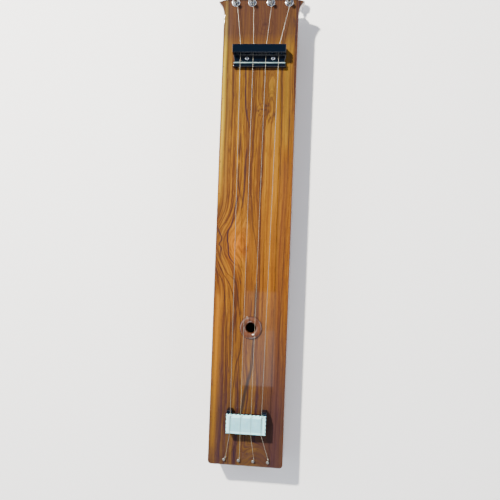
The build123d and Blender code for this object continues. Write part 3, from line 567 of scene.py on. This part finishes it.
def place(obj, body, slot, material, replaces=()):
    """Give an object its material and body, and hide the CAD nodes that it stands for. The slot argument is
    not used.
    """
    if obj.name not in bpy.context.scene.collection.objects:
        bpy.context.scene.collection.objects.link(obj)
    obj.data.materials.clear()
    obj.data.materials.append(material)
    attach(obj, body)
    if replaces:
        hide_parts(*replaces)
    return obj


def from_bmesh(name, bm, sharp_angle=35):
    """An object from a bmesh, smooth except at edges sharper than an angle."""
    bmesh.ops.recalc_face_normals(bm, faces=bm.faces)
    mesh = bpy.data.meshes.new(name)
    bm.to_mesh(mesh)
    bm.free()
    for polygon in mesh.polygons:
        polygon.use_smooth = True
    mesh.set_sharp_from_angle(angle=math.radians(sharp_angle))
    return bpy.data.objects.new(name, mesh)


def lathe(bm, profile, middle, axis="Z", steps=64):
    """Turn a closed (radius, height) profile about an axis through a point."""
    turn = Matrix.Identity(3) if axis == "Z" else Matrix.Rotation(math.radians(-90), 3, "X")
    rings = []
    for step in range(steps):
        angle = 2 * math.pi * step / steps
        ring = []
        for radius, height in profile:
            if radius == 0 and step:
                ring.append(rings[0][len(ring)])
                continue
            offset = Vector((radius * math.cos(angle), radius * math.sin(angle), height))
            ring.append(bm.verts.new(Vector(middle) + turn @ offset))
        rings.append(ring)
    for step, ring in enumerate(rings):
        following = rings[(step + 1) % steps]
        for i in range(len(profile)):
            j = (i + 1) % len(profile)
            corners = []
            for vert in (ring[i], ring[j], following[j], following[i]):
                if vert not in corners:
                    corners.append(vert)
            if len(corners) > 2:
                bm.faces.new(corners)


def arc(middle, radius, start, end, steps=6):
    """Points of an arc in a plane, from one angle to another in degrees."""
    return [
        (middle[0] + radius * math.cos(math.radians(start + (end - start) * i / steps)),
         middle[1] + radius * math.sin(math.radians(start + (end - start) * i / steps)))
        for i in range(steps + 1)
    ]


def prism(bm, outline, low, high, plane="XY"):
    """A straight block from an outline. In plane XZ it runs along Y, and so on."""
    def point(u, v, w):
        return {"XY": (u, v, w), "XZ": (u, w, v), "YZ": (w, u, v)}[plane]
    bottom = [bm.verts.new(point(u, v, low)) for u, v in outline]
    top = [bm.verts.new(point(u, v, high)) for u, v in outline]
    bm.faces.new(bottom)
    bm.faces.new(top)
    for i in range(len(outline)):
        j = (i + 1) % len(outline)
        bm.faces.new((bottom[i], bottom[j], top[j], top[i]))


def skin(bm, rings):
    """Join each ring of points to the next with four-sided faces."""
    for under, over in zip(rings, rings[1:]):
        for step in range(len(under)):
            following = (step + 1) % len(under)
            bm.faces.new((under[step], under[following], over[following], over[step]))


def soften(obj, width, angle=30):
    """Round the sharp edges of an object, for good."""
    bevel = obj.modifiers.new("soften", "BEVEL")
    bevel.width = width
    bevel.segments = 3
    bevel.limit_method = "ANGLE"
    bevel.angle_limit = math.radians(angle)
    bevel.harden_normals = True
    apply_modifiers(obj)


def cut(obj, tool):
    """Take one object out of another, for good, and remove the tool."""
    if tool.name not in bpy.context.scene.collection.objects:
        bpy.context.scene.collection.objects.link(tool)
    boolean = obj.modifiers.new("cut", "BOOLEAN")
    boolean.operation = "DIFFERENCE"
    boolean.solver = "EXACT"
    boolean.object = tool
    apply_modifiers(obj)
    bpy.data.objects.remove(tool)


def apply_modifiers(obj):
    """Replace an object's mesh by its modified mesh."""
    if obj.name not in bpy.context.scene.collection.objects:
        bpy.context.scene.collection.objects.link(obj)
    bpy.context.view_layer.update()
    shaped = obj.evaluated_get(bpy.context.evaluated_depsgraph_get())
    mesh = bpy.data.meshes.new_from_object(shaped)
    obj.modifiers.clear()
    obj.data = mesh


def tube(name, paths, diameter):
    """A curve object of round wire through each list of points."""
    data = bpy.data.curves.new(name, "CURVE")
    data.dimensions = "3D"
    data.bevel_depth = diameter / 2
    data.bevel_resolution = 3
    data.use_fill_caps = True
    for points in paths:
        spline = data.splines.new("POLY")
        spline.points.add(len(points) - 1)
        for place_on, point in zip(spline.points, points):
            place_on.co = (*point, 1)
        spline.use_smooth = True
    return bpy.data.objects.new(name, data)


def dome(radius, rise, foot, steps=6):
    """Profile of a domed head: (radius, height) points from the axis out to its foot."""
    points = [(0, foot + rise)]
    for i in range(1, steps + 1):
        angle = math.pi / 2 * i / steps
        points.append((radius * math.sin(angle), foot + rise * math.cos(angle) ** 0.8))
    return points


def dress(node, material):
    """Give a CAD node, as it stands, a better material."""
    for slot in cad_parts[node].material_slots:
        slot.material = material


# ---------------------------------------------------------------- wooden parts


def dress_wood():
    """The box keeps its CAD shapes and gets wood along its real grain."""
    for nodes, material in (
        (("soundboard",), FACE_TEAK),
        (("side_left", "side_right"), SIDE_TEAK),
        (("back_panel",), BACK_TEAK),
        (("head_block", "end_block", "tail_block"), BLOCK_TEAK),
        (("linings", "soundboard_braces", "back_braces", "nut_brace"), INNER_WOOD),
    ):
        for node in nodes:
            dress(node, material)


def build_ring():
    """The turned ring: a bead like a doughnut, with a step at its foot and a lip."""
    low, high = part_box("sound_ring")
    middle = (low + high) / 2
    outer = (high.x - low.x) / 2
    hole = 9 * MM
    crest = (outer + hole) / 2
    rise = high.z - FACE
    profile = [(outer - 0.4 * MM, FACE), (outer, FACE + 0.5 * MM), (outer - 0.2 * MM, FACE + 1.1 * MM)]
    for i in range(1, 15):
        angle = math.radians(8 + 160 * i / 15)
        profile.append((
            crest + (crest - hole - 0.3 * MM) * math.cos(angle),
            FACE + 1.0 * MM + (rise - 1.0 * MM) * math.sin(angle),
        ))
    profile += [(hole + 0.3 * MM, FACE + 1.6 * MM), (hole, FACE + 0.8 * MM), (hole, low.z)]
    profile += [(hole + 2.0 * MM, low.z), (hole + 2.0 * MM, FACE)]
    bm = bmesh.new()
    lathe(bm, profile, (middle.x, middle.y, 0), steps=96)
    place(from_bmesh("turned_sound_ring", bm), "body", "turned_wood", RING_WOOD, ["sound_ring"])


# ---------------------------------------------------------------- nut end


def build_nut_block():
    """Black block: a tall bar with string holes, and a low shelf with waisted ends."""
    low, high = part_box("nut_block")
    bar_front = high.y - NUT_BAR_DEPTH
    waist = 2.5 * MM
    depth = bar_front - low.y

    def end_points(end_x, inwards):
        return [
            (end_x + inwards * waist * math.sin(math.pi * i / 10), bar_front - depth * i / 10)
            for i in range(1, 10)
        ]
    shelf_outline = [(low.x, bar_front)] + end_points(low.x, 1) + [(low.x, low.y), (high.x, low.y)]
    shelf_outline += list(reversed(end_points(high.x, -1))) + [(high.x, bar_front)]
    bm = bmesh.new()
    bottom = [bm.verts.new((x, y, FACE)) for x, y in shelf_outline]
    top = [bm.verts.new((x, y, NUT_SHELF)) for x, y in shelf_outline]
    back = [bm.verts.new((x, high.y, FACE)) for x in (low.x, high.x)]
    crown = [bm.verts.new((x, y, high.z)) for y in (bar_front, high.y) for x in (low.x, high.x)]
    bm.faces.new(top)
    bm.faces.new(bottom)
    for i in range(len(shelf_outline) - 1):
        bm.faces.new((bottom[i], bottom[i + 1], top[i + 1], top[i]))
    bm.faces.new((bottom[0], bottom[-1], back[1], back[0]))
    bm.faces.new((top[0], top[-1], crown[1], crown[0]))
    bm.faces.new((crown[0], crown[1], crown[3], crown[2]))
    bm.faces.new((crown[2], crown[3], back[1], back[0]))
    bm.faces.new((back[0], bottom[0], top[0], crown[0], crown[2]))
    bm.faces.new((back[1], bottom[-1], top[-1], crown[1], crown[3]))
    block = from_bmesh("nut_block_body", bm)
    soften(block, 0.9 * MM)
    holes = bmesh.new()
    for x in STRING_NUT_X:
        lathe(holes, ((0, -0.01), (1.3 * MM, -0.01), (1.3 * MM, 0.03), (0, 0.03)),
              (x, bar_front, FACE + 11.5 * MM), axis="Y", steps=20)
    cut(block, from_bmesh("string_holes", holes))
    place(block, "body", "black_wood", BLACK_WOOD, ["nut_block"])


def build_nut_strip():
    """White strip across the shelf, with a shallow groove under each string."""
    low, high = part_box("nut_strip")
    outline = [(low.x, low.z), (low.x, high.z)]
    for x in STRING_NUT_X:
        for across, down in ((-0.9, 0), (-0.35, 0.35), (0.35, 0.35), (0.9, 0)):
            outline.append((x + across * MM, high.z - down * MM))
    outline += [(high.x, high.z), (high.x, low.z)]
    bm = bmesh.new()
    prism(bm, outline, low.y, high.y, plane="XZ")
    strip = from_bmesh("nut_strip_bone", bm)
    soften(strip, 0.5 * MM, angle=60)
    place(strip, "body", "white_bone", BONE, ["nut_strip"])


def build_nut_screws():
    """Two domed screws with a cross recess."""
    low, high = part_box("nut_screws")
    radius = 3.6 * MM
    shelf = NUT_SHELF
    y = (low.y + high.y) / 2
    bm = bmesh.new()
    recess = bmesh.new()
    for x in (low.x + radius, high.x - radius):
        profile = dome(radius, 2.0 * MM, shelf + 0.2 * MM, steps=8)
        profile += [(radius, shelf), (1.75 * MM, shelf), (1.75 * MM, low.z), (0, low.z)]
        lathe(bm, profile, (x, y, 0), steps=40)
        cross = []
        for arm in range(4):
            for u, v in ((0.4, 0.4), (1.9, 0.4), (1.9, -0.4)):
                spin = Matrix.Rotation(math.radians(20 - 90 * arm), 2)
                corner = spin @ Vector((u * MM, v * MM))
                cross.append((x + corner.x, y + corner.y))
        prism(recess, cross, shelf + 1.1 * MM, shelf + 4 * MM)
    screws = from_bmesh("nut_screw_heads", bm)
    cut(screws, from_bmesh("cross_recess", recess))
    place(screws, "body", "chrome", CHROME, ["nut_screws"])


# ---------------------------------------------------------------- bridge end


def build_bridge():
    """Black base on two feet with toes, and a white plate with a bevelled, notched border."""
    low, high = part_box("bridge_base")
    foot = 9.5 * MM
    toe_reach, toe_top, toe_round = 5 * MM, FACE + 19 * MM, 3 * MM
    base_front = high.y - toe_reach
    arch_top = FACE + 15 * MM
    corner = 8 * MM
    left, right = low.x + foot, high.x - foot
    outline = [(low.x, FACE), (low.x, high.z), (high.x, high.z), (high.x, FACE), (right, FACE)]
    outline += arc((right - corner, arch_top - corner), corner, 0, 90, 8)
    outline += arc((left + corner, arch_top - corner), corner, 90, 180, 8)
    outline += [(left, FACE)]
    bm = bmesh.new()
    prism(bm, outline, low.y, base_front, plane="XZ")
    base = from_bmesh("bridge_base_feet", bm)
    soften(base, 0.8 * MM)
    place(base, "body", "black_wood", BLACK_WOOD, ["bridge_base"])
    for name, first, last in (("left", low.x, left), ("right", right, high.x)):
        outline = [(base_front - MM, FACE), (high.y, FACE)]
        outline += arc((high.y - toe_round, toe_top - toe_round), toe_round, 0, 90, 6)
        outline += [(base_front - MM, toe_top)]
        bm = bmesh.new()
        prism(bm, outline, first + 0.02 * MM, last - 0.02 * MM, plane="YZ")
        toe = from_bmesh(f"bridge_toe_{name}", bm)
        soften(toe, 0.6 * MM)
        place(toe, "body", "black_wood", BLACK_WOOD)

    low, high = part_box("bridge_plate")
    bm = bmesh.new()
    levels = []
    for z, ends, front, rear in (
        (low.z, 0, 0, 0),
        (high.z - 2.6 * MM, 0, 0, 0),
        (high.z - 0.8 * MM, 1.7 * MM, 1.6 * MM, 1.0 * MM),
        (high.z - 0.45 * MM, 4.8 * MM, 4.6 * MM, 4.4 * MM),
        (high.z, 5.6 * MM, 5.4 * MM, 5.2 * MM),
    ):
        corners = ((low.x + ends, low.y + rear), (high.x - ends, low.y + rear),
                   (high.x - ends, high.y - front), (low.x + ends, high.y - front))
        levels.append([bm.verts.new((x, y, z)) for x, y in corners])
    bm.faces.new(levels[0])
    bm.faces.new(levels[-1])
    skin(bm, levels)
    plate = from_bmesh("bridge_plate_bone", bm, sharp_angle=50)
    soften(plate, 0.35 * MM, angle=6)
    notches = bmesh.new()
    radius, depth, pitch = 1.6 * MM, 1.1 * MM, 7 * MM
    middle = (low + high) / 2
    places = [(middle.x + pitch * (i - 4.5), high.y + radius - depth) for i in range(10)]
    for edge in (low.x - radius + depth, high.x + radius - depth):
        places += [(edge, middle.y + pitch * (i - 2)) for i in range(5)]
    for x, y in places:
        lathe(notches, ((0, -8 * MM), (radius, -8 * MM), (radius, 8 * MM), (0, 8 * MM)),
              (x, y, middle.z), steps=24)
    cut(plate, from_bmesh("edge_notches", notches))
    place(plate, "body", "white_bone", BONE, ["bridge_plate"])


def build_threads():
    """Two-ply cotton threads: each passes under a string and hangs over the front bevel."""
    low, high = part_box("jiva_threads")
    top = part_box("bridge_plate")[1].z
    y = (low.y + high.y) / 2
    radius = 0.28 * MM
    paths = []
    for x in STRING_BRIDGE_X:
        route = [Vector((x - 1.4 * MM, y - 0.6 * MM, top + radius)),
                 Vector((x + 1.2 * MM, y - 0.2 * MM, top + radius)),
                 Vector((x + 2.6 * MM, y + 1.0 * MM, top + radius)),
                 Vector((x + 3.4 * MM, y + 2.6 * MM, top - 0.6 * MM))]
        for ply in (0, math.pi):
            path = []
            for i in range(37):
                t = i / 36 * (len(route) - 1)
                k = min(int(t), len(route) - 2)
                point = route[k].lerp(route[k + 1], t - k)
                angle = ply + i * 0.9
                path.append(point + Vector((0, math.cos(angle), math.sin(angle) + 1)) * radius * 0.5)
            paths.append(path)
    place(tube("jiva_cotton", paths, radius * 1.3), "body", "cotton", COTTON, ["jiva_threads"])


def build_pins():
    """Round-headed steel pins that hold the strings at the tail."""
    low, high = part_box("string_pins")
    y = (low.y + high.y) / 2
    neck = FACE + 3.4 * MM
    bm = bmesh.new()
    for x in STRING_PIN_X:
        profile = dome(2.7 * MM, 1.7 * MM, neck + 0.1 * MM, steps=8)
        profile += [(2.5 * MM, neck), (1.5 * MM, neck), (1.5 * MM, low.z), (0, low.z)]
        lathe(bm, profile, (x, y, 0), steps=32)
    place(from_bmesh("tail_pins", bm), "body", "steel", PIN_STEEL, ["string_pins"])


# ---------------------------------------------------------------- strings

GAUGES = (0.70 * MM, 0.42 * MM, 0.42 * MM, 0.76 * MM)
NUT_PITCH = 22.8
BRIDGE_PITCH = 18.3
STRING_NUT_X = [centre("nut_strip").x + (i - 1.5) * NUT_PITCH * MM for i in range(4)]
STRING_BRIDGE_X = [centre("bridge_plate").x + (i - 1.5) * BRIDGE_PITCH * MM for i in range(4)]
PIN_HEAD = 2.7 * MM
STRING_PIN_X = spaced(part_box("string_pins")[0].x + PIN_HEAD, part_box("string_pins")[1].x - PIN_HEAD)
WIND_HEIGHT = 8 * MM
POST_WAIST = 2.6 * MM


def build_string(number):
    """One string: from its post, through the bar, over nut and bridge, round its pin."""
    i = number - 1
    gauge = GAUGES[i]
    radius = gauge / 2
    post = centre(f"post_{number}")
    nut = centre("nut_strip")
    nut_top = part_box("nut_strip")[1].z + radius - 0.1 * MM
    plate_low, plate_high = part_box("bridge_plate")
    thread = centre("jiva_threads")
    pin_y = centre("string_pins").y
    bar_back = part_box("nut_block")[1].y
    pin = Vector((STRING_PIN_X[i], pin_y, FACE + 1.9 * MM))
    rear = Vector((STRING_BRIDGE_X[i], plate_low.y + 1.6 * MM, plate_high.z + radius + 0.1 * MM))
    along = (pin - rear).normalized()
    across = (Vector((1, 0, 0)) - along * along.x).normalized()
    loop = 1.5 * MM + radius + 0.15 * MM
    route = [
        Vector((post.x + POST_WAIST + radius, post.y + 0.5 * MM, FACE + WIND_HEIGHT)),
        Vector((STRING_NUT_X[i], bar_back + 0.5 * MM, FACE + 11.1 * MM)),
        Vector((STRING_NUT_X[i], bar_back - 1.5 * MM, FACE + 11.2 * MM)),
        Vector((STRING_NUT_X[i], nut.y + 0.8 * MM, nut_top)),
        Vector((STRING_NUT_X[i], nut.y - 0.8 * MM, nut_top)),
        Vector((STRING_BRIDGE_X[i], thread.y + 0.4 * MM, plate_high.z + radius + 0.6 * MM)),
        Vector((STRING_BRIDGE_X[i], thread.y - 0.8 * MM, plate_high.z + radius + 0.55 * MM)),
        rear,
        rear + along * 1.5 * MM - Vector((0, 0, 0.15 * MM)),
    ]
    for step in range(14):
        angle = math.radians(90 - 30 * step)
        route.append(pin + (along * math.cos(angle) + across * math.sin(angle)) * loop
                     + Vector((0, 0, 0.03 * MM * step)))
    twist = []
    for step in range(49):
        angle = step * 0.75
        reach = 4.0 * MM + step * gauge * 0.12
        around = (across * math.cos(angle) + along.cross(across) * math.sin(angle)) * gauge
        centre_line = pin + across * loop * (1 - reach / (rear - pin).length) - along * reach
        twist.append(centre_line + around)
    material = WOUND_WIRE if gauge > 0.5 * MM else PLAIN_WIRE
    string = tube(f"string_wire_{number}", [route, twist], gauge)
    place(string, "body", "string_wire", material, [f"string_{number}"])

    turns = 4
    helix = []
    for step in range(turns * 24 + 1):
        angle = -2 * math.pi * step / 24
        out = POST_WAIST + radius
        helix.append(Vector((post.x + out * math.cos(angle), post.y + out * math.sin(angle),
                             FACE + WIND_HEIGHT + gauge * 1.02 * step / 24)))
    last = helix[-1]
    helix += [last + Vector((-1.4 * MM, 0.4 * MM, 0.4 * MM)), last + Vector((-3.2 * MM, 0.3 * MM, 0.5 * MM))]
    winding = tube(f"string_turns_{number}", [helix], gauge)
    place(winding, f"post_shaft_{number}", "string_wire", material, [f"string_winding_{number}"])


# ---------------------------------------------------------------- tuners


def build_bushings():
    """Stepped washers and chamfered hexagon bushings where the posts leave the face."""
    washer_low, washer_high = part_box("washers")
    bushing_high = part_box("hex_bushings")[1].z
    washers = bmesh.new()
    hexes = bmesh.new()
    for number in NUMBERS:
        post = centre(f"post_{number}")
        base = washer_low.z
        top = washer_high.z
        lathe(washers, (
            (4.5 * MM, base), (7.4 * MM, base), (7.4 * MM, base + 0.5 * MM), (7.15 * MM, top - 0.25 * MM),
            (6.7 * MM, top), (6.2 * MM, top), (5.9 * MM, top - 0.15 * MM), (4.5 * MM, top - 0.15 * MM),
        ), (post.x, post.y, 0), steps=56)
        rings = []
        for radius, z in (
            (5.9 * MM, top - 0.1 * MM), (6.35 * MM, top + 0.35 * MM), (6.35 * MM, bushing_high - 0.7 * MM),
            (5.75 * MM, bushing_high), (3.4 * MM, bushing_high), (3.07 * MM, bushing_high - 0.3 * MM),
            (3.07 * MM, base - 4 * MM), (4.5 * MM, base - 4 * MM), (4.5 * MM, top - 0.1 * MM),
        ):
            ring = []
            for step in range(48):
                angle = 2 * math.pi * step / 48 + 0.2 * number
                flat = (angle - 0.2 * number) % (math.pi / 3) - math.pi / 6
                reach = min(radius, 5.5 * MM / math.cos(flat)) if radius > 4.6 * MM else radius
                ring.append(hexes.verts.new((post.x + reach * math.cos(angle),
                                             post.y + reach * math.sin(angle), z)))
            rings.append(ring)
        skin(hexes, rings + rings[:1])
    place(from_bmesh("tuner_washers", washers), "body", "chrome", CHROME, ["washers"])
    place(from_bmesh("tuner_hex_bushings", hexes, 25), "body", "chrome", CHROME, ["hex_bushings"])


def build_post(number):
    """A tuner post: waisted where the string winds, with a string hole and a dimpled top."""
    low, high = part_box(f"post_{number}")
    middle = (low + high) / 2
    waist_low = FACE + 5.4 * MM
    waist_high = FACE + 11 * MM
    profile = [(0, high.z - 1.3 * MM), (1.1 * MM, high.z - 0.9 * MM), (1.7 * MM, high.z - 0.1 * MM),
               (2.1 * MM, high.z)]
    profile += [(2.1 * MM + 0.9 * MM * math.sin(a), high.z - 0.9 * MM * (1 - math.cos(a)))
                for a in (0.5, 1.0, math.pi / 2)]
    profile += [(3.0 * MM, waist_high + 1.6 * MM), (2.85 * MM, waist_high + 0.7 * MM),
                (POST_WAIST, waist_high), (POST_WAIST, waist_low), (2.85 * MM, waist_low - 0.5 * MM),
                (3.0 * MM, waist_low - 0.8 * MM), (3.0 * MM, low.z + 4 * MM), (1.8 * MM, low.z + 4 * MM),
                (1.8 * MM, low.z), (0, low.z)]
    bm = bmesh.new()
    lathe(bm, profile, (middle.x, middle.y, 0), steps=48)
    post = from_bmesh(f"tuner_post_{number}", bm)
    hole = bmesh.new()
    lathe(hole, ((0, -0.01), (0.7 * MM, -0.01), (0.7 * MM, 0.01), (0, 0.01)),
          (middle.x, middle.y, FACE + 10.4 * MM), axis="Y", steps=16)
    cut(post, from_bmesh("string_hole", hole))
    place(post, f"post_shaft_{number}", "chrome", CHROME, [f"post_{number}"])


def build_button(number):
    """A kidney-edged metal button: flattened, waisted into its stem, with a raised rim."""
    low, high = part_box(f"button_{number}")
    middle = (low + high) / 2
    width = (high.x - low.x) / 2
    thickness = (high.z - low.z) / 2
    length = high.y - low.y
    bm = bmesh.new()
    rings = []
    for reach, wide, thick in (
        (0.0, 0.33, 0.62), (0.03, 0.36, 0.68), (0.13, 0.34, 0.64), (0.18, 0.42, 0.66),
        (0.25, 0.66, 0.76), (0.36, 0.86, 0.86), (0.52, 0.985, 0.94), (0.70, 0.99, 0.97),
        (0.84, 0.93, 0.94), (0.93, 0.82, 0.84), (0.98, 0.66, 0.64), (1.0, 0.4, 0.35),
    ):
        ring = []
        for step in range(40):
            angle = 2 * math.pi * step / 40
            c, d = math.cos(angle), math.sin(angle)
            square = 0.72
            ring.append(bm.verts.new((
                middle.x + width * wide * math.copysign(abs(c) ** square, c),
                low.y + length * reach,
                middle.z + thickness * thick * math.copysign(abs(d) ** square, d),
            )))
        rings.append(ring)
    skin(bm, rings)
    bm.faces.new(rings[0])
    bm.faces.new(rings[-1])
    button = from_bmesh(f"tuner_button_{number}", bm, 60)
    smooth = button.modifiers.new("smooth", "SUBSURF")
    smooth.levels = 1
    apply_modifiers(button)
    place(button, f"button_shaft_{number}", "chrome", CHROME, [f"button_{number}"])


def build_housings():
    """Die-cast housings with soft edges, a lug each, and a pressed cover with two rivets."""
    covers_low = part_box("housing_covers")[0].z
    for number in NUMBERS:
        low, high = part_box(f"tuner_housing_{number}")
        bm = bmesh.new()
        radius = 3 * MM
        case_back = low.y + 7.0 * MM
        outline = []
        for cx, cy, start in (
            (high.x - radius, high.y - radius, 0), (low.x + radius, high.y - radius, 90),
            (low.x + radius, case_back + radius, 180), (high.x - radius, case_back + radius, 270),
        ):
            outline += arc((cx, cy), radius, start, start + 90, 5)
        prism(bm, outline, low.z, high.z)
        housing = from_bmesh(f"tuner_case_{number}", bm)
        soften(housing, 0.5 * MM)
        post = centre(f"post_{number}")
        lug = bmesh.new()
        lug_outline = arc((post.x, low.y + 3.5 * MM), 3.5 * MM, 180, 360, 10)
        lug_outline += [(post.x + 3.5 * MM, case_back + 1 * MM), (post.x - 3.5 * MM, case_back + 1 * MM)]
        prism(lug, lug_outline, high.z - 2.2 * MM, high.z)
        lug_piece = from_bmesh(f"tuner_lug_{number}", lug)
        soften(lug_piece, 0.3 * MM)
        place(lug_piece, "body", "chrome", CHROME)
        place(housing, "body", "chrome", CHROME, [f"tuner_housing_{number}"])

        cover = bmesh.new()
        inset = 0.2 * MM
        prism(cover, [(x + (inset if x < post.x + 2 * MM else -inset), y) for x, y in outline],
              covers_low, low.z)
        for dx, dy in ((-4.5, -6.0), (9.5, 7.0)):
            lathe(cover, dome(1.1 * MM, -0.5 * MM, covers_low, 5) + [(1.1 * MM, covers_low + 0.3 * MM),
                  (0, covers_low + 0.3 * MM)], (post.x + dx * MM, post.y + dy * MM, 0), steps=24)
        cover_piece = from_bmesh(f"tuner_cover_{number}", cover)
        soften(cover_piece, 0.25 * MM)
        place(cover_piece, "body", "chrome", CHROME, ["housing_covers"] if number == 1 else ())


def build_tuner_screws():
    """Slotted screws through the housing lugs."""
    low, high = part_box("tuner_screws")
    y = (low.y + high.y) / 2
    seat = low.z + 1.3 * MM
    bm = bmesh.new()
    slots = bmesh.new()
    for number in NUMBERS:
        x = centre(f"post_{number}").x
        profile = [(r, -h) for r, h in dome(2.1 * MM, 1.2 * MM, 0.1 * MM - seat, steps=6)]
        profile += [(2.1 * MM, seat), (1.0 * MM, seat), (1.0 * MM, high.z), (0, high.z)]
        lathe(bm, profile, (x, y, 0), steps=32)
        outline = [(x - 2.4 * MM, y - 0.25 * MM), (x + 2.4 * MM, y - 0.25 * MM),
                   (x + 2.4 * MM, y + 0.25 * MM), (x - 2.4 * MM, y + 0.25 * MM)]
        prism(slots, outline, low.z - 1 * MM, low.z + 0.6 * MM)
    screws = from_bmesh("tuner_lug_screws", bm)
    cut(screws, from_bmesh("screw_slots", slots))
    place(screws, "body", "steel", STEEL, ["tuner_screws"])


def dress_mechanism():
    """The gears, shafts and small screws keep their CAD shapes."""
    for name, material in (("wheel", BRASS), ("wheel_screw", STEEL), ("worm", STEEL),
                           ("button_screw", STEEL)):
        for number in NUMBERS:
            dress(f"{name}_{number}", material)
    dress("face_brads", BRAD_STEEL)


# ---------------------------------------------------------------- studio


def build_studio():
    """A pale floor, a soft key light from the upper left, a white room, and the camera."""
    bm = bmesh.new()
    bmesh.ops.create_grid(bm, x_segments=8, y_segments=8, size=4.0)
    floor = from_bmesh("floor", bm)
    bpy.context.scene.collection.objects.link(floor)
    s = Shader("pale_floor", Roughness=0.9)
    x, y, _ = s.position()
    cloud = s.noise(s.vector(x / 300.0, y / 300.0), detail=2.0)
    s.set("Base Color", s.mix(cloud, (0.90, 0.90, 0.90), (0.93, 0.93, 0.93)))
    floor.data.materials.append(s.material)

    def lamp(name, place_at, aim, size, power, colour):
        data = bpy.data.lights.new(name, "AREA")
        data.shape = "RECTANGLE"
        data.size, data.size_y = size
        data.energy = power
        data.color = colour
        light = bpy.data.objects.new(name, data)
        light.location = place_at
        light.rotation_euler = (Vector(aim) - Vector(place_at)).to_track_quat("-Z", "Y").to_euler()
        bpy.context.scene.collection.objects.link(light)

    face = (0, 0, FACE)
    lamp("key", (-1.00, 1.35, 2.16), face, (0.13, 0.13), 262, (1.0, 0.95, 0.86))
    lamp("fill_left", (-2.2, 0.3, 1.3), face, (2.6, 1.0), 42, (0.96, 0.97, 1.0))
    lamp("fill_right", (2.2, 0.2, 1.4), face, (2.6, 1.0), 39, (0.96, 0.97, 1.0))
    lamp("fill_tail", (0.2, -2.3, 1.3), face, (1.2, 1.0), 26, (0.96, 0.97, 1.0))
    # Two weak panes straight above show as one faint patch in the lacquer.
    lamp("pane_near", (-0.14, -0.604, 2.06), (-0.14, -0.604, 0), (0.165, 0.292), 0.25, (0.80, 0.85, 1.0))
    lamp("pane_far", (-0.14, -0.357, 2.06), (-0.14, -0.357, 0), (0.165, 0.202), 0.08, (0.80, 0.85, 1.0))

    # The room is white at the horizon, like the floor, and a dim blue overhead.
    world = bpy.data.worlds.new("studio_room")
    bpy.context.scene.world = world
    world.use_nodes = True
    nodes = world.node_tree.nodes
    links = world.node_tree.links
    direction = nodes.new("ShaderNodeTexCoord")
    split = nodes.new("ShaderNodeSeparateXYZ")
    ramp = nodes.new("ShaderNodeValToRGB")
    links.new(direction.outputs["Generated"], split.inputs[0])
    links.new(split.outputs["Z"], ramp.inputs[0])
    links.new(ramp.outputs[0], nodes["Background"].inputs["Color"])
    ramp.color_ramp.elements[0].position = 0.12
    ramp.color_ramp.elements[0].color = (1.0, 1.0, 1.0, 1)
    ramp.color_ramp.elements[1].position = 0.42
    ramp.color_ramp.elements[1].color = (0.058, 0.070, 0.102, 1)
    nodes["Background"].inputs["Strength"].default_value = 2.2

    camera = bpy.data.cameras.new("camera")
    camera.lens = 41.94
    camera.sensor_width = 36
    camera.clip_end = 20
    holder = bpy.data.objects.new("camera", camera)
    holder.location = (0.1003, -0.0517, 1.1023)
    holder.rotation_euler = [math.radians(a) for a in (0.4205, 5.7397, 2.0990)]
    bpy.context.scene.collection.objects.link(holder)
    bpy.context.scene.camera = holder


dress_wood()
build_ring()
build_nut_block()
build_nut_strip()
build_nut_screws()
build_bridge()
build_threads()
build_pins()
build_bushings()
build_housings()
build_tuner_screws()
for tuner in NUMBERS:
    build_string(tuner)
    build_post(tuner)
    build_button(tuner)
dress_mechanism()
build_studio()
